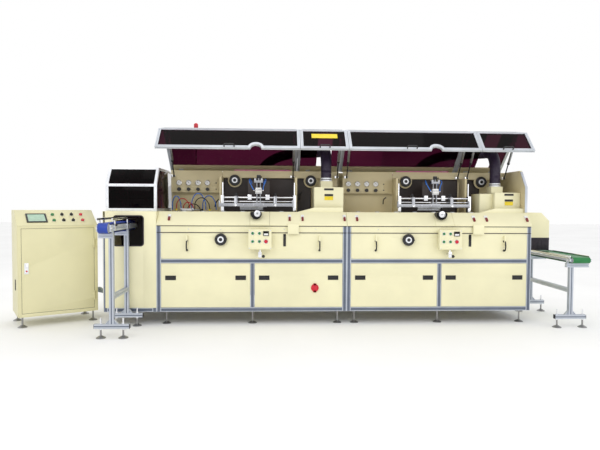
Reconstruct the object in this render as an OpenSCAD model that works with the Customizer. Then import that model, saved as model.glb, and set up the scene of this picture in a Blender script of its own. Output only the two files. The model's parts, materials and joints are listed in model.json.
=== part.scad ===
// Two-station in-line screen printing machine for round containers, with its
// infeed and outfeed conveyors and its free-standing control cabinet.
// X runs along the machine, the operator stands on the -Y side, Z is up.
// The driving places are measured from the joint of the two machine modules
// (x = 0), the face of the front frame (y = 0) and the floor (z = 0). Every
// node is then moved so that the origin is the middle of the footprint.

/* [Main frame] */
// Length of one machine module
module_len = 1860; // [1700:5:2200]
// Depth of the frame, front face to rear face
frame_depth = 1000; // [900:5:1300]
// Side of the square aluminium profile
profile = 40; // [30:1:50]
// Height of the frame's underside above the floor
frame_base = 125; // [90:1:180]
// Height of the middle rail's centre line
mid_rail_z = 622; // [560:1:700]
// Height of the frame's top face
frame_top = 970; // [900:1:1050]
// Thickness of the sheet metal panels
sheet = 3; // [2:0.5:6]
// Gap round each panel set into the frame
panel_gap = 3; // [2:0.5:8]

/* [Desk] */
// Height of the desk's top edge
desk_top = 1105; // [1060:1:1180]
// Setback of the desk's top edge from the front face
desk_back = 95; // [70:1:120]
// Overhang of the desk in front of the frame
desk_lip = 12; // [5:1:20]
// Radius of the recess round each desk dial
dial_recess_r = 55; // [48:1:60]

/* [Upper housing] */
// Height of the end panel's flat top
house_top = 1543; // [1500:1:1650]
// Height at which the housing's front starts to lean back
house_bend = 1372; // [1320:1:1420]
// Setback of the flat top's front edge
house_shoulder = 226; // [180:1:260]
// Place of the rear wall of the upper housing
house_rear = 870; // [850:1:880]
// Face of the fascia that carries the gauges and handwheels
fascia_y = 560; // [520:1:600]

/* [Hoods] */
// Places where one hood ends and the next begins
hood_edges = [-1872, -465, 13, 1338, 1872];
// Side of the aluminium section of the hood frames
hood_bar = 28; // [20:1:30]
// Gap between neighbouring hoods
hood_gap = 4; // [3:1:10]
// Clear height between the housing and a closed hood
hood_seat = 3; // [2:1:8]
// Angle by which a hood stands open at rest
hood_open = 43; // [30:1:50]
// Thickness of the tinted acrylic panes
pane = 5; // [3:1:8]
// Inner radius of the notch in the free edge of a long hood
notch_r = 52; // [45:1:70]

/* [Stations] */
// Distance from a module's left end to its printing station
station_at = 980; // [900:5:1050]
// Depth of the station's shafts behind the front face
station_y = 320; // [300:5:360]
// Height of the upper guide shaft
upper_shaft_z = 1250; // [1230:1:1270]
// Height of the lower guide shaft
lower_shaft_z = 1208; // [1195:1:1212]
// Diameter of the upper guide shaft
upper_shaft_d = 22; // [16:1:24]
// Diameter of the lower guide shaft
lower_shaft_d = 16; // [12:1:18]
// Diametral clearance of a bushing on its shaft
slide_fit = 0.6; // [0.3:0.1:1]

/* [Handwheels] */
// Diameter of the front and fascia handwheels
wheel_d = 118; // [90:1:130]
// Diameter of a handwheel's shaft
wheel_shaft_d = 16; // [10:1:20]
// Diametral clearance of a handwheel shaft in its bush
shaft_fit = 0.6; // [0.4:0.1:1.5]

/* [Conveyors] */
// Top of the infeed belt
infeed_top = 1010; // [960:1:1030]
// Width of the infeed belt
infeed_w = 84; // [60:1:100]
// Top of the outfeed belt
outfeed_top = 688; // [640:1:760]
// Width of the outfeed belt
outfeed_w = 168; // [120:1:200]
// Front end of the infeed conveyor
infeed_nose_y = -640; // [-800:5:-600]
// Front end of the outfeed conveyor
outfeed_nose_y = -300; // [-400:5:-280]

/* [Loader] */
// Width of the loader cabinet
loader_w = 510; // [480:1:600]

/* [Control cabinet] */
// Width of the cabinet
cab_w = 720; // [640:1:800]
// Depth of the cabinet
cab_d = 450; // [420:1:520]
// Height of the front edge of its sloped console
cab_edge = 965; // [900:1:1010]
// Height of the cabinet's top
cab_top = 1110; // [1080:1:1200]
// Depth of the sloped console
console_d = 260; // [220:1:300]
// Angle by which the cabinet is turned to face the operator
cab_turn = 31; // [0:1:40]
// Gap round the cabinet door
door_clear = 3; // [2:1:5]

/* [Hidden] */
$fn = 48;

// Hair gap between bars that are screwed together, so that each stays a piece
hair = 0.2;
// Depth to which a pane is let into its frame
groove = 6;

CREAM = [0.93, 0.91, 0.74];
TAN = [0.76, 0.70, 0.52];
ALU = [0.80, 0.83, 0.88];
CHROME = [0.85, 0.86, 0.88];
BLACK = [0.08, 0.08, 0.09];
TINT = [0.25, 0.04, 0.15, 0.7];

// Frame
rail_low = [frame_base, frame_base + profile];
rail_mid = [mid_rail_z - profile / 2, mid_rail_z + profile / 2];
rail_top = [frame_top - profile, frame_top];
apron_h = 70;
apron_base = frame_top - apron_h;
foot_inset = 85;
foot_y = 60;
stem_d = 16;
pad_d = 84;
pad_h = 22;

// Height of the band along the top of the fascia
fascia_h = 78;
// Hood section when shut: seat face, bend, shoulder and hinge
hinge_y = 800;
hinge_z = house_top - 3;
hinge_pin_d = 10;
knuckle_d = 20;
knuckle_l = 50;
pin_fit = 0.6;
hood_face = desk_back - hood_bar - hood_seat;
hood_foot = desk_top + 7;
hood_bend = house_bend + 14;
hood_shoulder = house_shoulder - 20;
hood_roof = house_top + hood_seat + hood_bar;
hood_rear = hinge_y - 8;
hinge_leaf = 80;
lean_run = hood_shoulder - hood_face;
lean_rise = hood_roof - hood_bend;
lean_len = norm([lean_run, lean_rise]);
lean_angle = atan2(lean_rise, lean_run);
notch_at = [-899, 0, 884, 0];
handle_at = [-1157, -226, 634, 1596];
handle_w = 104;
handle_out = 34;

// Gas struts: both pivots in the shut hood's section
strut_foot = [fascia_y - 22, 1478];
strut_head_shut = [150, 1430];
strut_inset = 52;
strut_tube_d = 26;
strut_rod_d = 12;
strut_pin_d = 8;

// Stations and ducts
station_x = [station_at - module_len, station_at - 20];
shaft_half = 356;
bay_posts = [-1290, -501, 570, 1310];
head_y = -30;
head_block = [1288, 1332];
head_rod_d = 12;
end_block_w = 30;
duct_x = [-175, 1632];
duct_y = 372;
duct_d = 116;
duct_slot = 156;
uv_box = [[-312, -13], [1562, 1830]];
uv_front = 200;
uv_depth = 330;
uv_top = [1358, 1314];

// Handwheels
boss_d = 46;
hole_clear = 8;
front_wheel_x = [-1238, 609];
front_wheel_z = 835;
fascia_wheel_x = [-1143, -325, 712, 1550];
fascia_wheel_z = 1437;
dial_x = [-897, 948];
dial_z = 1088;
dial_d = 68;
dial_recess_end = desk_back - 13;

// Operator boxes
box_x = [-855, 1008];
box_z = 842;
box_w = 222;
box_h = 192;
box_t = 58;
box_y = -72;
button_d = 24;
button_x = [-70, -5];
button_z = [58, -20];
stop_x = 58;
stop_z = -20;

// Conveyors
infeed_x = -2176;
infeed_post_x = -2133;
infeed_posts = [-525, -46];
infeed_back = 330;
infeed_roller = 90;
outfeed_x = 2215;
outfeed_post_x = 2154;
outfeed_posts = [-212, 600];
outfeed_back = 720;
outfeed_roller = 58;
rail_gap = 3;
rail_t = 16;
foot_bar = 306;
foot_bar_z = 85;
brace_z = 360;
infeed_foot = 97;
outfeed_foot = 127;

// Outlet at the machine's right end
end_t = 22;
outlet_y = [470, 800];
outlet_base = 812;
outlet_chamfer = 90;

// Loader
loader_left = -module_len - loader_w;
loader_open = [[-2267, 773], [-1986, 1059]];
loader_corner = 25;

// Control cabinet: its front left corner
cab_corner = [-3112, -144];
cab_base = 100;
door_margin = 35;
door_t = 18;
latch_z = 560;
latch_d = 18;
latch_inset = 40;
// Door hinges: the pins' axis, their diameter and the barrels on the door
door_pin = [cab_w - door_margin, -7];
door_pin_d = 6;
barrel_d = 13;
barrel_l = 60;
hinge_at = [cab_base + 160, cab_edge - 180];
console_angle = atan2(cab_top - cab_edge, console_d);

// The footprint, whose middle is the origin
x_left = cab_corner[0] - cab_d * sin(cab_turn);
x_right = outfeed_post_x + outfeed_foot + pad_d / 2;
y_front = infeed_nose_y;
y_back = frame_depth;
mid_x = (x_left + x_right) / 2;
mid_y = (y_front + y_back) / 2;

// ---------- shared shapes ----------

module in_frame() {
    translate([-mid_x, -mid_y, 0])
        children();
}

// A block given by two opposite corners
module block(a, b) {
    translate(a)
        cube(b - a);
}

// A cylinder along Y that starts at y = 0
module rod_y(d, l) {
    rotate([-90, 0, 0])
        cylinder(d = d, h = l);
}

// A cylinder along X that starts at x = 0
module rod_x(d, l) {
    rotate([0, 90, 0])
        cylinder(d = d, h = l);
}

// A profile extruded along X, its outline given in the YZ plane
module along_x(x0, x1, outline) {
    translate([x0, 0, 0])
        rotate([90, 0, 90])
            linear_extrude(height = x1 - x0)
                polygon(outline);
}

// A screw foot: a pad, its stem and a lock nut
module screw_foot(height) {
    cylinder(d = pad_d, h = 6);
    translate([0, 0, 6])
        cylinder(d1 = pad_d, d2 = stem_d * 1.6, h = pad_h - 6);
    translate([0, 0, pad_h])
        cylinder(d = stem_d, h = height - pad_h);
}

function unit(v) = v / norm(v);

// A point on the curve through p[i] and p[i + 1], at share t of the way
function on_curve(p, i, t) =
    let (a = p[max(i - 1, 0)], b = p[i], c = p[i + 1], d = p[min(i + 2, len(p) - 1)])
    0.5 * (2 * b + (c - a) * t + (2 * a - 5 * b + 4 * c - d) * t * t
           + (3 * b - a - 3 * c + d) * t * t * t);

function smooth(p, k) = [
    for (i = [0 : len(p) - 2], j = [0 : k - 1]) on_curve(p, i, j / k),
    p[len(p) - 1]
];

// A round hose swept along a smooth route that never runs along the aside direction
module hose(route, d, steps = 4, sides = 10, aside = [0.83, 0.11, 0.31]) {
    p = smooth(route, steps);
    n = len(p);
    guide = unit(aside);
    rings = [
        for (i = [0 : n - 1])
            let (t = unit(p[min(i + 1, n - 1)] - p[max(i - 1, 0)]),
                 u = unit(cross(t, guide)),
                 w = cross(t, u))
            for (j = [0 : sides - 1])
                p[i] + d / 2 * (cos(360 * j / sides) * u + sin(360 * j / sides) * w)
    ];
    walls = [
        for (i = [0 : n - 2], j = [0 : sides - 1])
            let (k = (j + 1) % sides)
            [i * sides + j, i * sides + k, (i + 1) * sides + k, (i + 1) * sides + j]
    ];
    ends = [
        [for (j = [sides - 1 : -1 : 0]) j],
        [for (j = [0 : sides - 1]) (n - 1) * sides + j]
    ];
    polyhedron(points = rings, faces = concat(walls, ends));
}

// ---------- frame and feet ----------

// One module's frame, from its left end, as separate bars
module frame_box(left, length, front_post) {
    x0 = left + hair;
    x1 = left + length - hair - profile;
    y1 = frame_depth - profile;
    middle = (x0 + x1) / 2;
    for (x = [x0, x1], y = [0, y1])
        block([x, y, frame_base], [x + profile, y + profile, frame_top]);
    for (z = [rail_low, rail_mid, rail_top], y = [0, y1])
        if (front_post || y > 0 || z != rail_top)
            block([x0 + profile + hair, y, z[0]], [x1 - hair, y + profile, z[1]]);
    for (z = [rail_low, rail_top], x = [x0, x1])
        block([x, profile + hair, z[0]], [x + profile, y1 - hair, z[1]]);
    if (front_post)
        block([middle, 0, rail_low[1] + hair],
              [middle + profile, profile, rail_mid[0] - hair]);
}

module machine_frame() {
    color(ALU)
        in_frame() {
            frame_box(-module_len, module_len, true);
            frame_box(0, module_len, true);
            frame_box(loader_left, loader_w, false);
        }
}

function cabinet_point(u, w) = [
    cab_corner[0] + u * cos(cab_turn) - w * sin(cab_turn),
    cab_corner[1] + u * sin(cab_turn) + w * cos(cab_turn),
    0
];

module levelling_feet() {
    main_x = [-module_len + foot_inset, -module_len / 2, -foot_inset,
              foot_inset, module_len / 2, module_len - foot_inset];
    color(CHROME)
        in_frame() {
            for (x = main_x, y = [foot_y, frame_depth - foot_y])
                translate([x, y, 0])
                    screw_foot(frame_base);
            for (s = [-infeed_foot, infeed_foot], y = infeed_posts)
                translate([infeed_post_x + s, y, 0])
                    screw_foot(foot_bar_z);
            for (s = [-outfeed_foot, outfeed_foot], y = outfeed_posts)
                translate([outfeed_post_x + s, y, 0])
                    screw_foot(foot_bar_z);
            for (u = [40, cab_w - 40], w = [40, cab_d - 40])
                translate(cabinet_point(u, w))
                    screw_foot(cab_base);
        }
}

// ---------- panels ----------

// The cover behind one handwheel, with the hole for its shaft and two grips
module front_cover(x0, wheel_x, grips) {
    difference() {
        block([x0 + profile + panel_gap, 1, rail_mid[1] + panel_gap],
              [x0 + module_len - profile - panel_gap, 1 + sheet, apron_base - panel_gap]);
        translate([wheel_x, 0, front_wheel_z])
            rod_y(wheel_shaft_d + hole_clear, 1 + sheet + 1);
    }
    translate([wheel_x, 1 + sheet + hair, front_wheel_z])
        difference() {
            rod_y(boss_d, 30);
            translate([0, -1, 0])
                rod_y(wheel_shaft_d + shaft_fit, 32);
        }
    for (x = grips)
        translate([x, 0, front_wheel_z - 60]) {
            block([-8, -31, 0], [8, -22, 100]);
            for (z = [0, 88])
                block([-8, -22, z], [8, 1 - hair, z + 12]);
        }
}

module front_covers() {
    color(CREAM)
        in_frame() {
            front_cover(-module_len, front_wheel_x[0], [-1566, -272]);
            front_cover(0, front_wheel_x[1], [287, 1582]);
            for (x0 = [-module_len, 0])
                block([x0 + profile + panel_gap, -2, apron_base],
                      [x0 + module_len - profile - panel_gap, 0, frame_top - 5]);
        }
}

module outer_panels() {
    rear_y = frame_depth - 1 - sheet;
    end_x = module_len - sheet;
    color(CREAM)
        in_frame() {
            for (x0 = [-module_len, 0])
                for (span = [[rail_low[1], rail_mid[0]], [rail_mid[1], rail_top[0]]])
                    block([x0 + profile + panel_gap, rear_y, span[0] + hair],
                          [x0 + module_len - profile - panel_gap, rear_y + sheet,
                           span[1] - hair]);
            block([end_x, profile + hair, rail_low[1] + hair],
                  [end_x + sheet - hair, frame_depth - profile - hair, rail_top[0] - hair]);
            along_x(end_x - end_t, end_x, [
                [desk_back + 8, desk_top + 2], [desk_back + 8, house_bend],
                [house_shoulder, house_top], [house_rear, house_top],
                [house_rear, desk_top + 2]]);
            // below it, the end wall is open between these two pieces: the outlet
            for (span = [[desk_back + 70, outlet_y[0] + 8], [outlet_y[1] - 8, house_rear]])
                block([end_x - end_t, span[0], frame_top + 18],
                      [end_x, span[1], desk_top + 2 - hair]);
            // rear wall of the upper housing and the ledge behind it
            block([-module_len, house_rear + hair, frame_top],
                  [module_len, house_rear + sheet, hinge_z - 40]);
            block([-module_len, house_rear + sheet + hair, frame_top],
                  [module_len, frame_depth, frame_top + sheet]);
        }
}

// One desk: a sloped housing in three lengths, with the dial's recess
module desk_run(x0, dial, seams, rise) {
    slope = [[-desk_lip, frame_top], [-desk_lip, frame_top + 16],
             [desk_back, desk_top], [desk_back + 65, desk_top], [desk_back + 65, frame_top]];
    along_x(x0 + 2, seams[0] - 1, slope);
    difference() {
        along_x(seams[0] + 1, seams[1] - 1, slope);
        translate([dial, -desk_lip - 1, dial_z])
            rod_y(2 * dial_recess_r, dial_recess_end + desk_lip + 1);
    }
    along_x(seams[1] + 1, x0 + module_len - 2, slope);
    translate([0, desk_back + 65, 0])
        rotate([90, 0, 0])
            linear_extrude(height = 40)
                polygon([[rise[0], desk_top], [rise[1], desk_top + 45],
                         [x0 + module_len - 26, desk_top + 45],
                         [x0 + module_len - 26, desk_top]]);
}

module desk() {
    color(CREAM)
        in_frame() {
            desk_run(-module_len, dial_x[0], [-956, -765], [-481, -311]);
            desk_run(0, dial_x[1], [885, 1072], [1372, 1545]);
            for (x = [-586, 1257])
                block([x, -34, apron_base - 10], [x + 108, -desk_lip - 1, frame_top + 18]);
        }
}

// ---------- inside the upper housing ----------

module machine_bed() {
    bed_z = frame_top + 18;
    back_y = fascia_y + 60;
    color(TAN)
        in_frame() {
            block([-module_len + 2, desk_back + 66, frame_top],
                  [module_len - sheet, back_y + 5, bed_z]);
            // back plates; the second leaves the way to the outlet free
            for (span = [[-module_len + 30, -26], [30, module_len - 100]])
                block([span[0], back_y, bed_z + hair], [span[1], back_y + 5, house_top - 40]);
            for (x = bay_posts)
                block([x, fascia_y - 180, bed_z + hair],
                      [x + 22, fascia_y - 2, house_top - fascia_h]);
        }
}

// The beam over one station: a folded sheet with a lobe round each handwheel
module fascia_run(x0, x1, wheels) {
    low = house_top - fascia_h;
    difference() {
        union() {
            block([x0, fascia_y, low], [x1, fascia_y + 4, house_top - 3]);
            for (x = wheels)
                translate([x, fascia_y, fascia_wheel_z])
                    rod_y(150, 4);
        }
        for (x = wheels)
            translate([x, fascia_y - 1, fascia_wheel_z])
                rod_y(wheel_shaft_d + hole_clear, 6);
    }
    block([x0, fascia_y + 4 + hair, house_top - 7], [x1, fascia_y + 60, house_top - 3]);
    for (x = wheels)
        translate([x, fascia_y + 4 + hair, fascia_wheel_z])
            difference() {
                rod_y(boss_d, 26);
                translate([0, -1, 0])
                    rod_y(wheel_shaft_d + shaft_fit, 28);
            }
}

module upper_fascia() {
    color(TAN)
        in_frame() {
            fascia_run(-1272, -22, [fascia_wheel_x[0], fascia_wheel_x[1]]);
            fascia_run(574, module_len - sheet - end_t - 2, [fascia_wheel_x[2], fascia_wheel_x[3]]);
            strut_posts();
        }
}

// The four gauges and four regulator knobs on one board
module gauge_board(x0, first_gauge) {
    block([x0, fascia_y, 1304], [x0 + 546, fascia_y + 4, house_top - 3]);
    for (i = [0 : 3])
        translate([x0 + first_gauge + 100 * i, fascia_y, 1406]) {
            translate([0, -26, 0])
                rod_y(56, 26);
            translate([0, -34, -68])
                rod_y(34, 34);
        }
    for (z = [1340, 1406])
        translate([x0 + first_gauge + 390, fascia_y - 5, z])
            rod_y(12, 5);
}

module gauge_boards() {
    color(TAN)
        in_frame() {
            gauge_board(-1822, 88);
            gauge_board(24, 60);
        }
}

// Everything of one printing station that stands still
module station_frame(x) {
    translate([x, station_y, 0]) {
        for (s = [-1, 1])
            difference() {
                translate([s * (shaft_half + end_block_w / 2) - end_block_w / 2, -30, frame_top + 18])
                    cube([end_block_w, 60, upper_shaft_z + 22 - frame_top - 18]);
                translate([-shaft_half - end_block_w - 1, 0, upper_shaft_z])
                    rod_x(upper_shaft_d + 2 * hair, 2 * (shaft_half + end_block_w + 1));
                translate([-shaft_half - end_block_w - 1, 0, lower_shaft_z])
                    rod_x(lower_shaft_d + 2 * hair, 2 * (shaft_half + end_block_w + 1));
            }
        translate([-shaft_half - end_block_w, 0, upper_shaft_z])
            rod_x(upper_shaft_d, 2 * (shaft_half + end_block_w));
        translate([-shaft_half - end_block_w, 0, lower_shaft_z])
            rod_x(lower_shaft_d, 2 * (shaft_half + end_block_w));
        // uprights on the end blocks
        for (s = [-1, 1])
            translate([s * (shaft_half + end_block_w / 2), 18, upper_shaft_z + 22 - 1])
                cylinder(d = 16, h = 135);
        // two clamps on the upper shaft, the plate they hold and the head's guide
        for (s = [-1, 1])
            difference() {
                translate([s * 92 - 20, -26, upper_shaft_z - 22])
                    cube([40, 70, 50]);
                translate([s * 92 - 21, 0, upper_shaft_z])
                    rod_x(upper_shaft_d + 2 * hair, 42);
            }
        block([-112, 44 + hair, upper_shaft_z - 22], [112, 56, upper_shaft_z + 175]);
        difference() {
            block([-33, head_y - 22, head_block[0]], [33, 44, head_block[1]]);
            for (s = [-1, 1])
                translate([s * 18, head_y, head_block[0] - 1])
                    cylinder(d = head_rod_d + slide_fit, h = head_block[1] - head_block[0] + 2);
        }
    }
}

module guide_shafts() {
    color(CHROME)
        in_frame()
            for (x = station_x)
                station_frame(x);
}

// The frame that carries the screen, on bushings on both shafts
module screen_carriage(x) {
    clamps = [-232, 172];
    color(CHROME)
        in_frame()
            translate([x, station_y, 0]) {
        for (c = clamps)
            difference() {
                union() {
                    translate([c - 16, 0, upper_shaft_z])
                        rod_x(50, 32);
                    block([c - 16, -62, 1158], [c + 16, -46, upper_shaft_z + 10]);
                    block([c - 16, -46, 1192], [c + 16, 16, 1224]);
                    block([c - 16, -46, upper_shaft_z - 12], [c + 16, 0, upper_shaft_z + 12]);
                }
                translate([c - 17, 0, upper_shaft_z])
                    rod_x(upper_shaft_d + slide_fit, 34);
                translate([c - 17, 0, lower_shaft_z])
                    rod_x(lower_shaft_d + slide_fit, 34);
            }
        for (c = clamps)
            translate([c, 0, upper_shaft_z + 24])
                cylinder(d = 26, h = 22);
        block([-390, -76, 1158], [345, -62, 1190]);
        block([-404, -76, 1148], [-390, -56, 1216]);
        block([345, -76, 1148], [359, -56, 1224]);
        block([-190, -60, 1122], [48, -46, 1138]);
        for (c = [-190, 34])
            block([c, -60, 1138], [c + 14, -46, 1158]);
        block([-190, -76, 1140], [48, -60, 1158]);
    }
}

// The head that lifts and lowers the squeegee on two rods
module squeegee_head(x) {
    color(CHROME)
        in_frame()
            translate([x, station_y + head_y, 0]) {
        block([-44, -28, 1402], [44, 28, 1424]);
        for (s = [-1, 1]) {
            translate([s * 18, 0, 1196])
                cylinder(d = head_rod_d, h = 1402 - 1196);
            translate([s * 34 - 10, -28, 1424])
                cube([20, 56, 20]);
        }
        translate([0, 0, 1424])
            cylinder(d = 18, h = 22);
        translate([0, 0, 1446])
            cylinder(d = 40, h = 36);
        block([-60, -14, 1172], [60, 14, 1196]);
        block([-84, -9, 1150], [84, 9, 1172]);
        block([-80, -4, 1132], [80, 4, 1150]);
    }
}

// A drying lamp housing with its collar for the exhaust duct
module uv_lamp(span, top, x) {
    block([span[0], uv_front, frame_top + 18], [span[1], uv_front + uv_depth, top]);
    block([x - 62, duct_y - 62, top], [x + 62, duct_y + 62, top + 66]);
}

module uv_lamps() {
    color(CREAM)
        in_frame() {
            uv_lamp(uv_box[0], uv_top[0], duct_x[0]);
            uv_lamp(uv_box[1], uv_top[1], duct_x[1]);
            block([uv_box[1][0] - 136, uv_front + 60, frame_top + 18],
                  [uv_box[1][0] - 1, uv_front + 300, uv_top[1] - 12]);
        }
}

// One duct: up from the lamp, back over the hinge and down behind the housing
module exhaust_duct(x, from_z) {
    hose([
        [x, duct_y, from_z], [x, duct_y, from_z + 90], [x, duct_y, 1620],
        [x, duct_y + 70, 1715], [x, duct_y + 190, 1756], [x - 16, duct_y + 320, 1764],
        [x - 130, duct_y + 430, 1764], [x - 330, 856, 1756], [x - 520, 900, 1710],
        [x - 660, 930, 1610], [x - 725, 936, 1460], [x - 725, 936, 1200],
        [x - 725, 936, frame_top + sheet]],
        duct_d, 4, 12);
}

module exhaust_ducts() {
    color(BLACK)
        in_frame() {
            exhaust_duct(duct_x[0], uv_top[0] + 66);
            exhaust_duct(duct_x[1], uv_top[1] + 66);
        }
}

// A chain loop under the desk that carries the containers between stations
module transfer_chain() {
    chain_y = 180;
    chain_z = 1040;
    sprocket_d = 90;
    color("dimgray")
        in_frame() {
            for (z = [chain_z - sprocket_d / 2, chain_z + sprocket_d / 2 - 12])
                block([-1700, chain_y - 10, z], [1400, chain_y + 10, z + 12]);
            for (x = [-1700, 1400])
                translate([x, chain_y - 12, chain_z])
                    rod_y(sprocket_d - 24, 24);
            for (i = [0 : 15])
                block([-1640 + 195 * i, chain_y - 12, chain_z + sprocket_d / 2],
                      [-1600 + 195 * i, chain_y + 12, chain_z + sprocket_d / 2 + 26]);
        }
}

// ---------- hoods ----------

// Moves a shape from its shut place to a hood's open place
module opened() {
    translate([0, hinge_y, hinge_z])
        rotate([-hood_open, 0, 0])
            translate([0, -hinge_y, -hinge_z])
                children();
}

// A straight piece of the hood's leaning part, from its bend
module leaning(x0, x1, a, b, depth) {
    translate([0, hood_face, hood_bend])
        rotate([lean_angle, 0, 0])
            block([x0, a, -depth[1]], [x1, b, -depth[0]]);
}

// The hinge knuckles of hood i sit this far in from its ends
knuckle_inset = 120;

module hood(i) {
    x0 = hood_edges[i] + hood_gap / 2;
    x1 = hood_edges[i + 1] - hood_gap / 2;
    a = x0 + hood_bar;
    b = x1 - hood_bar;
    roof_in = hood_roof - hood_bar;
    has_notch = notch_at[i] != 0;
    ducted = i == 1 || i == 3;
    slot_x = i == 1 ? duct_x[0] : duct_x[1];
    pane_out = 8;
    pa = a - groove;
    pb = b + groove;
    color(TINT)
        in_frame()
            opened() {
        // side members: upright, leaning and roof lengths
        for (x = [x0, b]) {
            block([x, hood_face, hood_foot], [x + hood_bar, hood_face + hood_bar, hood_bend - 14]);
            along_x(x, x + hood_bar, [
                [hood_face, hood_bend - 14], [hood_face, hood_bend],
                [hood_shoulder, hood_roof], [hood_shoulder + 12, hood_roof],
                [hood_shoulder + 12, roof_in], [hood_face + hood_bar, hood_bend - 14]]);
            block([x, hood_shoulder + 12, roof_in], [x + hood_bar, hood_rear, hood_roof]);
        }
        // free edge, with an arch round the notch
        if (has_notch) {
            n = notch_at[i];
            block([a, hood_face, hood_foot],
                  [n - notch_r - hood_bar + 4, hood_face + hood_bar, hood_foot + hood_bar]);
            block([n + notch_r + hood_bar - 4, hood_face, hood_foot],
                  [b, hood_face + hood_bar, hood_foot + hood_bar]);
            translate([n, hood_face + hood_bar, hood_foot])
                rotate([90, 0, 0])
                    linear_extrude(height = hood_bar)
                        difference() {
                            circle(r = notch_r + hood_bar);
                            circle(r = notch_r);
                            translate([-notch_r * 2, -notch_r * 2])
                                square([notch_r * 4, notch_r * 2]);
                        }
            difference() {
                block([pa, hood_face + pane_out, hood_foot + hood_bar - groove],
                      [pb, hood_face + pane_out + pane, hood_bend - 14]);
                translate([n, hood_face, hood_foot])
                    rod_y(2 * (notch_r + hood_bar), hood_bar);
            }
        } else {
            block([a, hood_face, hood_foot], [b, hood_face + hood_bar, hood_foot + hood_bar]);
            block([pa, hood_face + pane_out, hood_foot + hood_bar - groove],
                  [pb, hood_face + pane_out + pane, hood_bend - 14]);
        }
        // bend and shoulder bars, and the leaning pane between them
        leaning(a - 1, b + 1, 0, hood_bar, [0.5, hood_bar * 0.8]);
        leaning(a - 1, b + 1, lean_len - hood_bar, lean_len - 0.5, [0.5, hood_bar * 0.8]);
        leaning(pa, pb, hood_bar - groove, lean_len - hood_bar + groove,
                [pane_out, pane_out + pane]);
        // roof panes, split round the duct's slot
        if (ducted) {
            for (side = [[pa, slot_x - duct_slot / 2], [slot_x + duct_slot / 2, pb]])
                if (side[1] > side[0] + 5)
                    block([side[0], hood_shoulder + 14, roof_in + pane_out],
                          [side[1], hood_rear - hinge_leaf + groove, roof_in + pane_out + pane]);
        } else {
            block([pa, hood_shoulder + 14, roof_in + pane_out],
                  [pb, hood_rear - hinge_leaf + groove, roof_in + pane_out + pane]);
        }
        // hinge leaf and its knuckles
        block([a - 1, hood_rear - hinge_leaf, roof_in + 0.5], [b + 1, hood_rear, roof_in + 14]);
        for (x = [x0 + knuckle_inset, x1 - knuckle_inset])
            difference() {
                union() {
                    translate([x - knuckle_l / 2, hinge_y, hinge_z])
                        rod_x(knuckle_d, knuckle_l);
                    block([x - knuckle_l / 2, hood_rear - 30, hinge_z - 3],
                          [x + knuckle_l / 2, hinge_y - 2, roof_in + 2]);
                }
                translate([x - knuckle_l / 2 - 1, hinge_y, hinge_z])
                    rod_x(hinge_pin_d + pin_fit, knuckle_l + 2);
            }
        // handle on the free edge
        translate([handle_at[i], hood_face, hood_foot + 4]) {
            block([-handle_w / 2, -handle_out, 0], [handle_w / 2, -handle_out + 10, 12]);
            for (x = [-handle_w / 2, handle_w / 2 - 12])
                block([x, -handle_out + 10, 0], [x + 12, 0, 12]);
        }
        // studs for the struts' upper ends
        for (x = strut_x(i))
            block([x < (x0 + x1) / 2 ? x0 + hood_bar : x + strut_tube_d / 2 + 4,
                   strut_head_shut[0] - 10, strut_head_shut[1] + 26],
                  [x < (x0 + x1) / 2 ? x - strut_tube_d / 2 - 4 : x1 - hood_bar,
                   strut_head_shut[0] + 10, strut_head_shut[1] + 46]);
    }
}

// Where hood i has its gas struts
function strut_x(i) =
    i == 1 ? [hood_edges[2] - strut_inset] :
    i == 3 ? [hood_edges[3] + strut_inset, hood_edges[4] - strut_inset - 16] :
             [hood_edges[i] + strut_inset + (i == 0 ? 34 : 0), hood_edges[i + 1] - strut_inset];

function turned(p) = [
    hinge_y + (p[0] - hinge_y) * cos(hood_open) + (p[1] - hinge_z) * sin(hood_open),
    hinge_z - (p[0] - hinge_y) * sin(hood_open) + (p[1] - hinge_z) * cos(hood_open)
];

strut_head = turned(strut_head_shut);
strut_vec = strut_head - strut_foot;
strut_len = norm(strut_vec);
strut_lean = atan2(-strut_vec[0], strut_vec[1]);
strut_shut_len = norm(strut_head_shut - strut_foot);
strut_tube_len = strut_shut_len - 60;
strut_eye_r = 11;
strut_weld = 2;

module on_strut(x) {
    translate([x, strut_foot[0], strut_foot[1]])
        rotate([strut_lean, 0, 0])
            children();
}

module strut_rods(i) {
    color(BLACK)
        in_frame()
            for (x = strut_x(i))
                on_strut(x) {
                    difference() {
                        translate([-8, 0, 0])
                            rod_x(2 * strut_eye_r, 16);
                        translate([-9, 0, 0])
                            rod_x(strut_pin_d + pin_fit, 18);
                    }
                    translate([0, 0, strut_eye_r - strut_weld])
                        cylinder(d = strut_rod_d, h = strut_shut_len - 45);
                }
}

module strut_tubes(i) {
    color("silver")
        in_frame()
            for (x = strut_x(i))
                on_strut(x) {
                    difference() {
                        translate([0, 0, strut_len - strut_tube_len])
                            cylinder(d = strut_tube_d,
                                     h = strut_tube_len - strut_eye_r + strut_weld);
                        translate([0, 0, strut_len - strut_tube_len - 1])
                            cylinder(d = strut_rod_d + slide_fit, h = strut_tube_len - 24);
                    }
                    translate([-8, 0, strut_len])
                        rod_x(2 * strut_eye_r, 16);
                }
}

// Pins and posts that carry the struts' lower ends, on the fascia
module strut_posts() {
    for (i = [0 : 3])
        for (x = strut_x(i)) {
            translate([x - 17, strut_foot[0], strut_foot[1]])
                rod_x(strut_pin_d, 30);
            block([x - 25, strut_foot[0] - 9, strut_foot[1] - 9],
                  [x - 17, fascia_y - hair, strut_foot[1] + 9]);
        }
}

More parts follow.
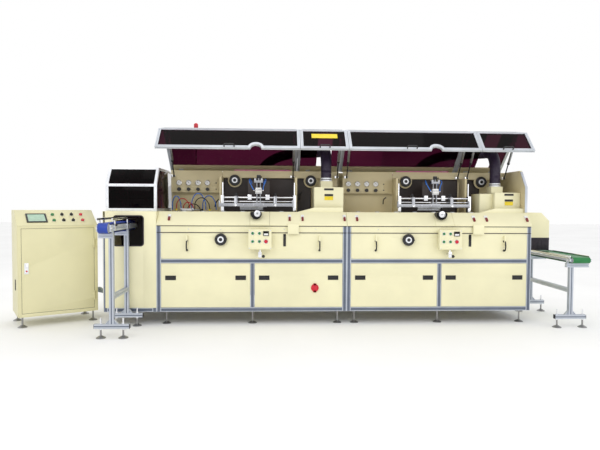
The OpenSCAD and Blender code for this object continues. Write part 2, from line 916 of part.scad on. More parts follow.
module hinge_rail() {
    color(ALU)
        in_frame() {
            block([-module_len, hinge_y + knuckle_d / 2 + 5, hinge_z - 40],
                  [module_len - sheet - end_t - 1, house_rear + 5, hinge_z]);
            for (i = [0 : 3]) {
                x0 = hood_edges[i] + hood_gap / 2;
                x1 = hood_edges[i + 1] - hood_gap / 2;
                for (x = [x0 + knuckle_inset, x1 - knuckle_inset]) {
                    translate([x - knuckle_l / 2 - 26, hinge_y, hinge_z])
                        rod_x(hinge_pin_d, knuckle_l + 52);
                    for (s = [-1, 1])
                        block([x + s * (knuckle_l / 2 + 14) - 12, hinge_y - 8, hinge_z - 34],
                              [x + s * (knuckle_l / 2 + 14) + 12,
                               hinge_y + knuckle_d / 2 + 5, hinge_z + 3]);
                }
            }
        }
}

// ---------- lift-off panels ----------

// Panel i of four, between the frame's posts, with two recessed pulls
module access_panel(i) {
    half = floor(i / 2);
    x0 = (half - 1) * module_len;
    post = x0 + (module_len - profile) / 2;
    a = (i % 2 == 0 ? x0 + profile : post + profile) + panel_gap;
    b = (i % 2 == 0 ? post : x0 + module_len - profile) - panel_gap;
    pull_w = 100;
    pull_h = 40;
    pull_z = 438;
    low = rail_low[1] + panel_gap;
    high = rail_mid[0] - panel_gap;
    depth = 16;
    color(CREAM)
        in_frame() {
            difference() {
                block([a, 1, low], [b, 1 + depth, high]);
                for (x = [a + 42, b - 42 - pull_w])
                    block([x, 0, pull_z], [x + pull_w, 1 + depth - sheet, pull_z + pull_h]);
            }
        }
}

// ---------- handwheels and dials ----------

// A handwheel on the -Y end of its shaft, facing the operator
module handwheel(d, t, shaft_l) {
    rotate([90, 0, 0]) {
        rotate_extrude()
            polygon([[0, 0], [d / 2 - 6, 0], [d / 2, 5], [d / 2, t - 5], [d / 2 - 6, t],
                     [d / 2 - 16, t], [d / 2 - 20, t - 8], [d * 0.2, t - 8],
                     [d * 0.2, t + 4], [0, t + 4]]);
        translate([0, 0, -shaft_l])
            cylinder(d = wheel_shaft_d, h = shaft_l);
        translate([d * 0.36, 0, t - 8])
            cylinder(d = 14, h = 34);
    }
}

module front_handwheel(i) {
    color(BLACK)
        in_frame()
            translate([front_wheel_x[i], -6, front_wheel_z])
                handwheel(wheel_d, 26, 50);
}

module fascia_handwheel(i) {
    color(BLACK)
        in_frame()
            translate([fascia_wheel_x[i], fascia_y - 5, fascia_wheel_z])
                handwheel(wheel_d, 26, 50);
}

module desk_dial(i) {
    face_y = 26;
    color(CHROME)
        in_frame()
            translate([dial_x[i] + 12, face_y, dial_z])
                rotate([-90, 0, 0]) {
                    cylinder(d = dial_d, h = 14);
                    translate([0, 0, 14])
                        cylinder(d = 30, h = 12);
                    translate([0, 0, 26])
                        cylinder(d = 12, h = dial_recess_end - face_y - 26);
                }
}

// ---------- operator boxes ----------

module box_brackets() {
    color(CHROME)
        in_frame()
            for (x = box_x)
                translate([x, box_y, 0]) {
                    translate([0, 0, 662])
                        cylinder(d = 18, h = box_z - box_h / 2 - 662);
                    translate([0, -8, 0])
                        block([-9, 0, 690], [9, -box_y + 9, 706]);
                    translate([33, 0, 676])
                        sphere(d = 30);
                    translate([9, 0, 676])
                        rod_x(8, 24);
                    block([-16, -14, 668], [16, 14, 720]);
                }
}

module operator_box(i) {
    color(CREAM)
        in_frame()
            translate([box_x[i], box_y, box_z]) {
                difference() {
                    block([-box_w / 2, -box_t / 2, -box_h / 2], [box_w / 2, box_t / 2, box_h / 2]);
                    for (x = button_x, z = button_z)
                        translate([x, -box_t / 2 - 1, z])
                            rod_y(button_d - 4, 20);
                    translate([stop_x, -box_t / 2 - 1, stop_z])
                        rod_y(button_d - 4, 20);
                }
                translate([stop_x, -box_t / 2 - 6, button_z[0]])
                    block([-27, 0, -22], [27, 6, 22]);
            }
}

// A push button's cap and stem, pressed along +Y
module push_button(d) {
    translate([0, -box_t / 2 - 12, 0])
        rod_y(d, 8);
    translate([0, -box_t / 2 - 4, 0])
        rod_y(button_d - 4 - slide_fit, 16);
}

module start_buttons(i) {
    color("green")
        in_frame()
            translate([box_x[i], box_y, box_z])
                for (x = button_x, z = button_z)
                    translate([x, 0, z])
                        push_button(button_d);
}

module stop_button(i) {
    color("red")
        in_frame()
            translate([box_x[i] + stop_x, box_y, box_z + stop_z])
                push_button(34);
}

// ---------- loader ----------

// One rounded corner of the loader's window, filled outside its radius
module window_corner() {
    difference() {
        square(loader_corner);
        translate([loader_corner, loader_corner])
            circle(r = loader_corner);
    }
}

// The front sheet of the loader in strips, with the infeed belt's window
module loader_front(a, b) {
    low = frame_base + profile;
    w0 = loader_open[0];
    w1 = loader_open[1];
    translate([0, -hair, 0])
        rotate([90, 0, 0])
            linear_extrude(height = sheet) {
                translate([a, low])
                    square([w0[0] - a, desk_top - low]);
                translate([w1[0], low])
                    square([b - w1[0], desk_top - low]);
                translate([w0[0] + hair, low])
                    square([w1[0] - w0[0] - 2 * hair, w0[1] - low]);
                translate([w0[0] + hair, w1[1]])
                    square([w1[0] - w0[0] - 2 * hair, desk_top - w1[1]]);
                for (sx = [0, 1], sy = [0, 1])
                    translate([sx == 0 ? w0[0] + hair : w1[0] - hair,
                               sy == 0 ? w0[1] + hair : w1[1] - hair])
                        mirror([sx, 0])
                            mirror([0, sy])
                                window_corner();
            }
}

module loader_cabinet() {
    a = loader_left;
    b = -module_len - 1;
    rear_y = frame_depth - 1 - sheet;
    over = frame_top + hair;
    side_x = b - profile / 2;
    color(CREAM)
        in_frame() {
            loader_front(a + 20, b - 1);
            // left side on the outside, right side between the frame's posts
            block([a - sheet, 1, frame_base], [a - hair, frame_depth - 1, desk_top]);
            block([side_x, profile + 2 * hair, rail_low[1] + hair],
                  [side_x + sheet, frame_depth - profile - 2 * hair, rail_top[0] - hair]);
            block([b - sheet, 2, over], [b, rear_y - hair, desk_top - sheet - hair]);
            // rear, in the openings of the frame and above it
            for (span = [[rail_low[1], rail_mid[0]], [rail_mid[1], rail_top[0]]])
                block([a + profile + panel_gap, rear_y, span[0] + hair],
                      [b - profile - panel_gap, rear_y + sheet, span[1] - hair]);
            block([a, rear_y, over], [b - sheet, rear_y + sheet, desk_top - sheet - hair]);
            // top, as a rim round the guard's opening
            for (span = [[2, desk_back + 30], [house_rear - 35, frame_depth - 1]])
                block([a, span[0], desk_top - sheet], [b, span[1], desk_top]);
            for (x = [a, b - 30])
                block([x, desk_back + 30 + hair, desk_top - sheet],
                      [x + 30, house_rear - 35 - hair, desk_top]);
            // plate behind the end of the infeed belt
            block([a + profile + 5, infeed_back + 150, frame_top - 245],
                  [b - profile - 5, infeed_back + 156, desk_top - sheet - 10]);
        }
}

guard_bar = 28;
guard_right = -module_len - 14;

module loader_guard_frame() {
    a = loader_left;
    b = guard_right;
    z0 = desk_top;
    bar = guard_bar;
    y0 = desk_back - 6;
    rear = house_rear;
    color(ALU)
        in_frame() {
            for (x = [a, b - bar]) {
                block([x, y0, z0], [x + bar, y0 + bar, house_bend - 10]);
                along_x(x, x + bar, [
                    [y0, house_bend - 10], [y0, house_bend + 4],
                    [house_shoulder - 16, house_top - 2], [house_shoulder + 10, house_top - 2],
                    [house_shoulder + 10, house_top - 2 - bar], [y0 + bar, house_bend - 10]]);
                block([x, house_shoulder + 10, house_top - 2 - bar], [x + bar, rear, house_top - 2]);
                block([x, rear - bar, z0], [x + bar, rear, house_top - 2 - bar]);
                block([x, y0 + bar, z0], [x + bar, rear - bar, z0 + bar]);
            }
            for (y = [y0, rear - bar])
                block([a + bar, y, z0], [b - bar, y + bar, z0 + bar]);
            block([a + bar, y0, house_bend - 24], [b - bar, y0 + bar, house_bend + 2]);
            block([a + bar, house_shoulder - 14, house_top - 2 - bar],
                  [b - bar, house_shoulder + 12, house_top - 2]);
            block([a + bar, rear - bar, house_top - 2 - bar], [b - bar, rear, house_top - 2]);
        }
}

module loader_guard_panes() {
    a = loader_left + guard_bar;
    b = guard_right - guard_bar;
    y0 = desk_back - 6;
    lean = atan2(house_top - house_bend - 6, house_shoulder - 16 - y0);
    run = norm([house_top - house_bend - 6, house_shoulder - 16 - y0]);
    color(TINT)
        in_frame() {
            block([a, y0 + 8, desk_top + guard_bar], [b, y0 + 8 + pane, house_bend - 24]);
            translate([0, y0, house_bend + 4])
                rotate([lean, 0, 0])
                    block([a, 12, -12], [b, run - 18, -12 + pane]);
            block([a, house_shoulder + 12, house_top - 14],
                  [b, house_rear - guard_bar, house_top - 14 + pane]);
            block([a, house_rear - 14, desk_top + guard_bar],
                  [b, house_rear - 14 + pane, house_top - 2 - guard_bar]);
            for (x = [loader_left + 10, guard_right + 1])
                along_x(x, x + pane, [
                    [y0 + guard_bar, desk_top + guard_bar], [y0 + guard_bar, house_bend - 12],
                    [house_shoulder + 12, house_top - 2 - guard_bar],
                    [house_rear - guard_bar, house_top - 2 - guard_bar],
                    [house_rear - guard_bar, desk_top + guard_bar]]);
        }
}

module signal_beacon() {
    x = -1600;
    y = house_rear - 12;
    post_top = 2008;
    color("red")
        in_frame() {
            translate([x, y, hinge_z])
                cylinder(d = 14, h = post_top - hinge_z);
            for (z = [0, 34])
                translate([x, y, post_top + z])
                    cylinder(d = 48, h = 34);
            translate([x, y, post_top + 68])
                cylinder(d1 = 48, d2 = 22, h = 12);
        }
}

// ---------- conveyors ----------

module outlet_hood() {
    a = module_len;
    b = outfeed_x + outfeed_w / 2 - 12;
    y0 = outlet_y[0];
    y1 = outlet_y[1];
    c = outlet_chamfer;
    cheek = [[a, outlet_base], [a, desk_top], [b - c, desk_top], [b, desk_top - c],
             [b, outlet_base]];
    color(CREAM)
        in_frame() {
            for (y = [y0, y1 + sheet])
                translate([0, y, 0])
                    rotate([90, 0, 0])
                        linear_extrude(height = sheet)
                            polygon(cheek);
            block([a, y0, desk_top - sheet], [b - c, y1, desk_top]);
            block([b - sheet, y0, outlet_base], [b, y1, desk_top - c]);
            translate([b - c, y0, desk_top])
                rotate([0, 45, 0])
                    block([0, 0, -sheet], [c * sqrt(2), y1 - y0, 0]);
            // rubber curtain over the belt, and the chute down to it
            block([a + 4, y0 - sheet - 4, outfeed_top + 8], [b, y0 - sheet, outlet_base + 20]);
            translate([0, y1 - 8, 0])
                rotate([90, 0, 0])
                    linear_extrude(height = y1 - y0 - 16)
                        polygon([[a + 2, frame_top + 12], [outfeed_x - outfeed_w / 2 - 30, outfeed_top + 14],
                                 [outfeed_x - outfeed_w / 2 - 30, outfeed_top + 10], [a + 2, frame_top + 8]]);
        }
}

// The stand of a conveyor: posts on cross feet, with a brace between them
module stand(x, posts, top_z, arm) {
    half = profile / 2;
    foot_top = foot_bar_z + profile;
    for (y = posts) {
        block([x - half, y - half, foot_top + hair], [x + half, y + half, top_z - profile - hair]);
        block([x - foot_bar / 2, y - half, foot_bar_z], [x + foot_bar / 2, y + half, foot_top]);
        block([x - arm[0], y - half, top_z - profile], [x + arm[1], y + half, top_z]);
        for (s = [-1, 1])
            translate([x + s * (half + hair), y + 14, foot_top + hair])
                rotate([90, 0, 0])
                    linear_extrude(height = 28)
                        polygon([[0, 0], [s * 38, 0], [0, 38]]);
    }
    block([x - 15, posts[0] + half + hair, brace_z - 15],
          [x + 15, posts[1] - half - hair, brace_z + 15]);
}

// The two side rails and end rollers of a belt conveyor
module belt_frame(x, w, nose, back, top, roller) {
    rail_z = [top - roller + 18, top - 20];
    rod_d = 8;
    rods = [nose + roller / 2 + 60, back - roller / 2 - 60];
    for (s = [-1, 1])
        difference() {
            translate([x + s * (w / 2 + rail_gap + rail_t / 2) - rail_t / 2,
                       nose + roller / 2, rail_z[0]])
                cube([rail_t, back - nose - roller, rail_z[1] - rail_z[0]]);
            for (y = rods)
                translate([x - w, y, top - roller / 2])
                    rod_x(rod_d + 2 * hair, 2 * w);
        }
    for (y = rods)
        translate([x - w / 2 - 23, y, top - roller / 2])
            rod_x(rod_d, w + 46);
}

module conveyor_frames() {
    infeed_low = infeed_top - infeed_roller + 18;
    outfeed_low = outfeed_top - outfeed_roller + 18;
    infeed_arm = infeed_top - infeed_roller - 4;
    outfeed_arm = outfeed_top - outfeed_roller - 4;
    color(ALU)
        in_frame() {
            stand(infeed_post_x, infeed_posts, infeed_arm, [108, profile / 2]);
            stand(outfeed_post_x, outfeed_posts, outfeed_arm, [50, 170]);
            belt_frame(infeed_x, infeed_w, infeed_nose_y, infeed_back, infeed_top, infeed_roller);
            belt_frame(outfeed_x, outfeed_w, outfeed_nose_y, outfeed_back, outfeed_top,
                       outfeed_roller);
            for (y = infeed_posts, s = [-1, 1])
                translate([infeed_x + s * (infeed_w / 2 + rail_gap + rail_t / 2), y, 0])
                    block([-rail_t / 2, -14, infeed_arm + hair],
                          [rail_t / 2, 14, infeed_low - hair]);
            for (y = outfeed_posts, s = [-1, 1])
                translate([outfeed_x + s * (outfeed_w / 2 + rail_gap + rail_t / 2), y, 0])
                    block([-rail_t / 2, -14, outfeed_arm + hair],
                          [rail_t / 2, 14, outfeed_low - hair]);
            // guide rails on posts over the infeed belt
            for (s = [-1, 1])
                translate([infeed_x + s * (infeed_w / 2 + 24 + hair), 0, 0]) {
                    block([-5, infeed_nose_y + 60, infeed_top + 22 + hair],
                          [5, infeed_back, infeed_top + 42]);
                    for (y = [infeed_nose_y + 130, infeed_posts[1] - 60])
                        block([-5, y, infeed_low + 4], [5, y + 24, infeed_top + 22]);
                }
        }
}

// A belt round two rollers, as one closed loop
module belt_loop(x, w, nose, back, top, roller) {
    r = roller / 2;
    t = 4;
    translate([x - w / 2, 0, top - r])
        rotate([90, 0, 90])
            linear_extrude(height = w)
                difference() {
                    hull() {
                        translate([nose + r, 0])
                            circle(r = r);
                        translate([back - r, 0])
                            circle(r = r);
                    }
                    hull() {
                        translate([nose + r, 0])
                            circle(r = r - t);
                        translate([back - r, 0])
                            circle(r = r - t);
                    }
                }
    for (y = [nose + r, back - r])
        translate([x - w / 2 - 3, y, top - r])
            rod_x(2 * (r - t), w + 6);
    block([x - w / 2, nose + 2 * r + 10, top - t - 8], [x + w / 2, back - 2 * r - 10, top - t]);
}

module infeed_belt() {
    color("royalblue")
        in_frame()
            belt_loop(infeed_x, infeed_w, infeed_nose_y, infeed_back, infeed_top, infeed_roller);
}

module outfeed_belt() {
    color("seagreen")
        in_frame()
            belt_loop(outfeed_x, outfeed_w, outfeed_nose_y, outfeed_back, outfeed_top,
                      outfeed_roller);
}

// ---------- control cabinet ----------

module at_cabinet() {
    in_frame()
        translate([cab_corner[0], cab_corner[1], 0])
            rotate([0, 0, cab_turn])
                children();
}

// The cabinet's side, seen along its width
cab_side = [[0, cab_base], [0, cab_edge], [console_d, cab_top], [cab_d, cab_top], [cab_d, cab_base]];

module on_console() {
    translate([0, 0, cab_edge])
        rotate([console_angle, 0, 0])
            children();
}

module control_cabinet() {
    u = [door_margin, cab_w - door_margin];
    z = [cab_base + door_margin, cab_edge - door_margin + 5];
    t = sheet + hair;
    front_t = 24;
    color(CREAM)
        at_cabinet() {
            along_x(0, sheet, cab_side);
            along_x(cab_w - sheet, cab_w, cab_side);
            block([t, cab_d - sheet, cab_base], [cab_w - t, cab_d, cab_top - t]);
            block([t, 0, cab_base], [cab_w - t, cab_d - t, cab_base + sheet]);
            // front frame round the door
            block([t, 0, cab_base + t], [u[0] - door_clear, front_t, cab_edge - 3]);
            block([u[1] + door_clear, 0, cab_base + t], [cab_w - t, front_t, cab_edge - 3]);
            block([u[0] - door_clear + hair, 0, cab_base + t],
                  [u[1] + door_clear - hair, front_t, z[0] - door_clear]);
            block([u[0] - door_clear + hair, 0, z[1] + door_clear],
                  [u[1] + door_clear - hair, front_t, cab_edge - 3]);
            // console: its slope and its flat top
            along_x(t, cab_w - t, [[0, cab_edge], [console_d - hair, cab_top - hair],
                                   [console_d - hair, cab_top - sheet], [0, cab_edge - sheet + 1]]);
            block([t, console_d, cab_top - sheet], [cab_w - t, cab_d, cab_top]);
            // the screen, and two rows of lamps, selectors and buttons
            on_console() {
                block([96, 60, hair], [266, 210, 6]);
                for (i = [0 : 3], row = [80, 190])
                    translate([330 + 88 * i, row, hair])
                        cylinder(d = 30, h = 16);
            }
            // mounting plate inside, on four blocks
            block([60, cab_d - 40, cab_base + 60], [cab_w - 60, cab_d - 36, cab_edge - 60]);
            for (u = [100, cab_w - 112], h = [cab_base + 100, cab_edge - 110])
                block([u, cab_d - 36 + hair, h], [u + 12, cab_d - t, h + 12]);
            // hinge pins, each between two ears on the front
            for (h = hinge_at) {
                translate([door_pin[0], door_pin[1], h - barrel_l / 2 - 16])
                    cylinder(d = door_pin_d, h = barrel_l + 32);
                for (e = [h - barrel_l / 2 - 17, h + barrel_l / 2 + 1]) {
                    translate([door_pin[0], door_pin[1], e])
                        cylinder(d = barrel_d, h = 16);
                    block([door_pin[0], door_pin[1], e], [door_pin[0] + 20, -hair, e + 16]);
                }
            }
        }
}

module cabinet_door() {
    u = [door_margin, cab_w - door_margin];
    z = [cab_base + door_margin, cab_edge - door_margin + 5];
    color(CREAM)
        at_cabinet() {
            difference() {
                block([u[0], 1, z[0]], [u[1], 1 + door_t, z[1]]);
                translate([u[0] + latch_inset, 0, latch_z])
                    rod_y(latch_d + shaft_fit, door_t + 2);
            }
            // hinge barrels
            for (h = hinge_at)
                difference() {
                    union() {
                        translate([door_pin[0], door_pin[1], h - barrel_l / 2])
                            cylinder(d = barrel_d, h = barrel_l);
                        block([door_pin[0] - 20, door_pin[1] + 1, h - barrel_l / 2],
                              [door_pin[0] - 1, 2, h + barrel_l / 2]);
                    }
                    translate([door_pin[0], door_pin[1], h - barrel_l / 2 - 1])
                        cylinder(d = door_pin_d + pin_fit, h = barrel_l + 2);
                }
        }
}

module door_latch() {
    color(CHROME)
        at_cabinet()
            translate([door_margin + latch_inset, 0, latch_z]) {
                block([-13, -10, -44], [13, 0, 44]);
                rod_y(latch_d, door_t + 4);
                block([-40, door_t + 4, -7], [7, door_t + 8, 7]);
            }
}

// Three conduits from the cabinet's flank to the loader's
module service_conduits() {
    out = [cos(cab_turn), sin(cab_turn), 0];
    along = [30, 0, 0];
    color("lightsteelblue")
        in_frame()
            for (k = [0 : 2]) {
                start = cabinet_point(cab_w, 150 + 55 * k) + [0, 0, 300 - 22 * k];
                finish = [loader_left - sheet, 470 + 46 * k, 230 + 18 * k];
                hose([start, start + 30 * out, start + 60 * out,
                      (start + finish) / 2 + [0, 0, -20],
                      finish - 2 * along, finish - along, finish],
                     26, 4, 10, [0.1, -0.2, 1]);
            }
}

// ---------- nodes ----------

machine_frame();
levelling_feet();
front_covers();
outer_panels();
desk();
machine_bed();
upper_fascia();
gauge_boards();
guide_shafts();
uv_lamps();
exhaust_ducts();
hinge_rail();
loader_cabinet();
loader_guard_frame();
loader_guard_panes();
signal_beacon();
outlet_hood();
conveyor_frames();
infeed_belt();
outfeed_belt();
box_brackets();
control_cabinet();
service_conduits();
transfer_chain();
for (i = [0 : 3]) {
    access_panel(i);
    hood(i);
    strut_rods(i);
    strut_tubes(i);
    fascia_handwheel(i);
}
for (i = [0 : 1]) {
    front_handwheel(i);
    desk_dial(i);
    screen_carriage(station_x[i]);
    squeegee_head(station_x[i]);
    operator_box(i);
    start_buttons(i);
    stop_button(i);
}
cabinet_door();
door_latch();
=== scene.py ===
# %% [markdown]
# # A screen printing line for round containers
# The CAD model already holds every size and every joint of this machine. What is missing is its
# looks: slotted aluminium bars, powder coated sheet, tinted acrylic and chromed shafts. This
# lesson builds those around the CAD frame, one piece or one finish at a time.

# %% Load the frame
import json
import math

import bpy
from mathutils import Matrix, Vector


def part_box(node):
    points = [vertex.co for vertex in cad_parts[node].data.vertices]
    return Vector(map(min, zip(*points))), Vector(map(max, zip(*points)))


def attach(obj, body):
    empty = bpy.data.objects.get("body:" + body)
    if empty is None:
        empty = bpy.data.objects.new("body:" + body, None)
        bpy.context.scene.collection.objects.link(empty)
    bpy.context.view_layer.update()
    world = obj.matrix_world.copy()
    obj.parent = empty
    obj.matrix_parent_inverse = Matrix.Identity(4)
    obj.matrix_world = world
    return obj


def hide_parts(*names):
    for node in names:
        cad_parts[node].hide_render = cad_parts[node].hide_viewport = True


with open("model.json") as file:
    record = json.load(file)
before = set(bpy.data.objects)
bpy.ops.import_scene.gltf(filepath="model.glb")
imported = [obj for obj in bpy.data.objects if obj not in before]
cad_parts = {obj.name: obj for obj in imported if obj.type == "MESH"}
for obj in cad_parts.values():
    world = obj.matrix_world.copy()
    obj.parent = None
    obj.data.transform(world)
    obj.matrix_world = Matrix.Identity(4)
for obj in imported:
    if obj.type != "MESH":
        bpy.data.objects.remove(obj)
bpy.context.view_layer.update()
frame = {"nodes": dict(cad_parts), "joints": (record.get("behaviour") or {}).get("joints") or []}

# %% [markdown]
# ## One set of measures
# A maker dimensions this machine in millimetres from the joint between its two modules, the front
# face of the frame and the floor. Blender works in metres round the middle of the footprint. We
# could convert each number by hand, but one small function that does it keeps the drawing's
# numbers readable, and it takes its zero from the CAD pieces, so nothing drifts.

# %% Drawing measures to metres
MM = 0.001
covers_low, covers_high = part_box("front_covers")
frame_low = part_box("machine_frame")[0]
ZERO = Vector(((covers_low[0] + covers_high[0]) / 2, frame_low[1], 0))


def at(x, y, z):
    """A place on the drawing, in metres."""
    return ZERO + Vector((x, y, z)) * MM


def measured(node):
    """A CAD node's lowest and highest corner on the drawing, in mm."""
    return [(Vector(corner) - ZERO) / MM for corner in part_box(node)]


MODULE = measured("machine_frame")[1].x
PROFILE = 40
DESK_TOP = 1105
print("module length", round(MODULE), "mm")

# %% [markdown]
# ## Camera, floor and light
# A long machine shows best from about chest height, a little to the left of its middle, with a
# lens that is only slightly wide. The light is soft and comes from the front and above, so that
# the cream panels look even, and the floor is pale. Large area lights give that softness; a sun
# would draw hard shadows under the desk.

# %% Camera
CAMERA_YAW = 0.0488
CAMERA_PITCH = 0.0361
CAMERA_ROLL = 0.0054

camera_data = bpy.data.cameras.new("camera")
camera_data.lens = 32.15
camera_data.sensor_width = 36
camera = bpy.data.objects.new("camera", camera_data)
bpy.context.collection.objects.link(camera)
camera.matrix_world = (
    Matrix.Translation(at(-722, -5253, 1168))
    @ Matrix.Rotation(-CAMERA_YAW, 4, "Z")
    @ Matrix.Rotation(math.pi / 2 - CAMERA_PITCH, 4, "X")
    @ Matrix.Rotation(CAMERA_ROLL, 4, "Z")
)
bpy.context.scene.camera = camera
print("camera at", [round(v, 3) for v in camera.location])

# %% Lights
def area_light(name, place, aim, size, power):
    data = bpy.data.lights.new(name, "AREA")
    data.energy = power
    data.size = size
    data.color = (1.0, 0.99, 0.97)
    lamp = bpy.data.objects.new(name, data)
    bpy.context.collection.objects.link(lamp)
    lamp.location = place
    lamp.rotation_euler = (aim - place).to_track_quat("-Z", "Y").to_euler()


area_light("key_light", at(-2600, -4600, 4200), at(-300, 300, 900), 3.2, 50)
area_light("fill_light", at(2800, -4400, 3000), at(300, 300, 800), 3.6, 34)
area_light("top_light", at(-400, 600, 4800), at(-400, 400, 0), 4.0, 25)
area_light("rear_light", at(-400, 5600, 3400), at(-400, 900, 900), 4.0, 30)

world = bpy.data.worlds.new("studio")
bpy.context.scene.world = world
world.use_nodes = True
world.node_tree.nodes["Background"].inputs["Color"].default_value = (1, 1, 1, 1)
world.node_tree.nodes["Background"].inputs["Strength"].default_value = 1.0
bpy.context.scene.view_settings.view_transform = "Standard"

# %% [markdown]
# ## Finishes
# Every finish here is built from nodes on Object coordinates, so it stays put when a hood opens.
# Powder coat has a fine orange peel and a slow drift of tone; anodised bars carry drawn lines;
# machined steel has fine scratches; acrylic is clear but deeply coloured. A texture file could
# show the same, but nodes work at any distance and need no file.

# %% A helper for material nodes
def new_material(name, **sockets):
    """A Principled material whose constants sit on the shader's own sockets."""
    material = bpy.data.materials.new(name)
    material.use_nodes = True
    shader = material.node_tree.nodes["Principled BSDF"]
    for socket, value in sockets.items():
        shader.inputs[socket.replace("_", " ")].default_value = value
    return material, material.node_tree, shader


def noise(tree, scale, detail=2.0, stretch=(1, 1, 1)):
    """Noise on Object coordinates; stretch shortens or draws out its grain along each axis."""
    place = tree.nodes.new("ShaderNodeTexCoord")
    mapping = tree.nodes.new("ShaderNodeMapping")
    mapping.inputs["Scale"].default_value = stretch
    texture = tree.nodes.new("ShaderNodeTexNoise")
    texture.inputs["Scale"].default_value = scale
    texture.inputs["Detail"].default_value = detail
    tree.links.new(place.outputs["Object"], mapping.inputs["Vector"])
    tree.links.new(mapping.outputs["Vector"], texture.inputs["Vector"])
    return texture.outputs["Fac"]


def ramp(tree, factor, low, high, start=0.35, end=0.65):
    node = tree.nodes.new("ShaderNodeValToRGB")
    node.color_ramp.elements[0].position = start
    node.color_ramp.elements[1].position = end
    node.color_ramp.elements[0].color = (*low, 1)
    node.color_ramp.elements[1].color = (*high, 1)
    tree.links.new(factor, node.inputs["Fac"])
    return node.outputs["Color"]


def spread(tree, factor, low, high):
    """Maps noise between two numbers, for roughness."""
    node = tree.nodes.new("ShaderNodeMapRange")
    node.inputs["From Min"].default_value = 0.3
    node.inputs["From Max"].default_value = 0.7
    node.inputs["To Min"].default_value = low
    node.inputs["To Max"].default_value = high
    tree.links.new(factor, node.inputs["Value"])
    return node.outputs["Result"]


def bump(tree, shader, factor, distance, strength=0.5):
    node = tree.nodes.new("ShaderNodeBump")
    node.inputs["Distance"].default_value = distance
    node.inputs["Strength"].default_value = strength
    tree.links.new(factor, node.inputs["Height"])
    tree.links.new(node.outputs["Normal"], shader.inputs["Normal"])


# %% Powder coat, in several colours
def powder_coat(name, colour, drift=0.06, roughness=(0.34, 0.5)):
    material, tree, shader = new_material(name, Specular_IOR_Level=0.4)
    darker = [c * (1 - drift) for c in colour]
    lighter = [min(1, c * (1 + drift / 2)) for c in colour]
    tree.links.new(ramp(tree, noise(tree, 2.3, 4), darker, lighter), shader.inputs["Base Color"])
    tree.links.new(spread(tree, noise(tree, 9, 3), *roughness), shader.inputs["Roughness"])
    bump(tree, shader, noise(tree, 420, 2), 0.0004, 0.35)
    return material


cream = powder_coat("cream_powder_coat", (0.83, 0.79, 0.53))
cabinet_cream = powder_coat("cabinet_powder_coat", (0.72, 0.68, 0.42))
# The tan is darker than the cream: on the end sheet's inner face it is painted shade, and on the bed
# and fascia under the hoods it is partly painted shade.
tan_and_shade = powder_coat("tan_coat_and_painted_shade", (0.70, 0.61, 0.37), 0.1)
dark_panel = powder_coat("brown_back_panel", (0.045, 0.034, 0.032), 0.25)
black_coat = powder_coat("black_powder_coat", (0.012, 0.012, 0.014), 0.2)


# %% Metals: drawn bars, ground steel and chrome
def metal(name, colour, roughness, grain, depth, metallic=1.0, drift=0.12):
    material, tree, shader = new_material(name, Metallic=metallic)
    darker = [c * (1 - drift) for c in colour]
    tree.links.new(ramp(tree, noise(tree, 6, 3), darker, colour), shader.inputs["Base Color"])
    lines = noise(tree, grain, 3, (1, 0.06, 0.06))
    tree.links.new(spread(tree, lines, *roughness), shader.inputs["Roughness"])
    bump(tree, shader, lines, depth, 0.4)
    return material


anodised = metal("anodised_bar", (0.56, 0.60, 0.67), (0.32, 0.5), 300, 0.0002, 0.55)
hood_bar = metal("satin_hood_bar", (0.64, 0.67, 0.72), (0.3, 0.45), 300, 0.0002, 0.5)
slot_grey = metal("slot_cover_grey", (0.13, 0.155, 0.21), (0.4, 0.6), 300, 0.0002, 0.3)
ground = metal("ground_steel", (0.40, 0.41, 0.44), (0.18, 0.42), 700, 0.0002, 0.95)
chrome = metal("hard_chrome", (0.86, 0.87, 0.90), (0.05, 0.16), 500, 0.00005, 1.0, 0.04)
white_metal = metal("bright_aluminium", (0.88, 0.90, 0.94), (0.25, 0.4), 400, 0.0001, 0.45)
# The levelling feet are chrome; this darker grey is painted shade.
shaded_chrome = metal("chrome_feet_painted_shade", (0.34, 0.34, 0.34), (0.25, 0.5), 260, 0.0003, 0.9)


# %% Plastics, rubber and belts
def moulded(name, colour, roughness=(0.3, 0.5), grain=600, depth=0.0002):
    material, tree, shader = new_material(name)
    darker = [c * 0.86 for c in colour]
    tree.links.new(ramp(tree, noise(tree, 25, 3), darker, colour), shader.inputs["Base Color"])
    tree.links.new(spread(tree, noise(tree, 60, 2), *roughness), shader.inputs["Roughness"])
    bump(tree, shader, noise(tree, grain, 2), depth, 0.4)
    return material


black_plastic = moulded("black_moulding", (0.015, 0.015, 0.017))
green_plastic = moulded("green_button", (0.02, 0.20, 0.05), (0.15, 0.3))
red_plastic = moulded("red_button", (0.62, 0.012, 0.03), (0.15, 0.3))
white_plastic = moulded("white_lens", (0.85, 0.85, 0.84), (0.15, 0.3))
screen_green = moulded("display_glass", (0.42, 0.60, 0.46), (0.08, 0.14), 900, 0.00005)
blue_tube = moulded("blue_air_tube", (0.03, 0.17, 0.62), (0.15, 0.3))
red_tube = moulded("red_air_tube", (0.5, 0.02, 0.03), (0.15, 0.3))
grey_conduit = moulded("grey_conduit", (0.42, 0.50, 0.62), (0.35, 0.55))
blue_belt = moulded("blue_belt", (0.012, 0.05, 0.36), (0.35, 0.55), 1200, 0.0003)
green_belt = moulded("green_belt", (0.01, 0.19, 0.045), (0.35, 0.55), 1200, 0.0003)
duct_skin = moulded("duct_skin", (0.026, 0.015, 0.042), (0.4, 0.7), 900, 0.0004)
rubber = moulded("black_rubber", (0.02, 0.014, 0.024), (0.55, 0.75))
yellow_label = moulded("yellow_label", (0.86, 0.66, 0.02), (0.3, 0.45))
dark_red = moulded("catch_red", (0.20, 0.012, 0.02), (0.3, 0.45))
knob_cream = moulded("cream_moulding", (0.78, 0.72, 0.44), (0.3, 0.45))


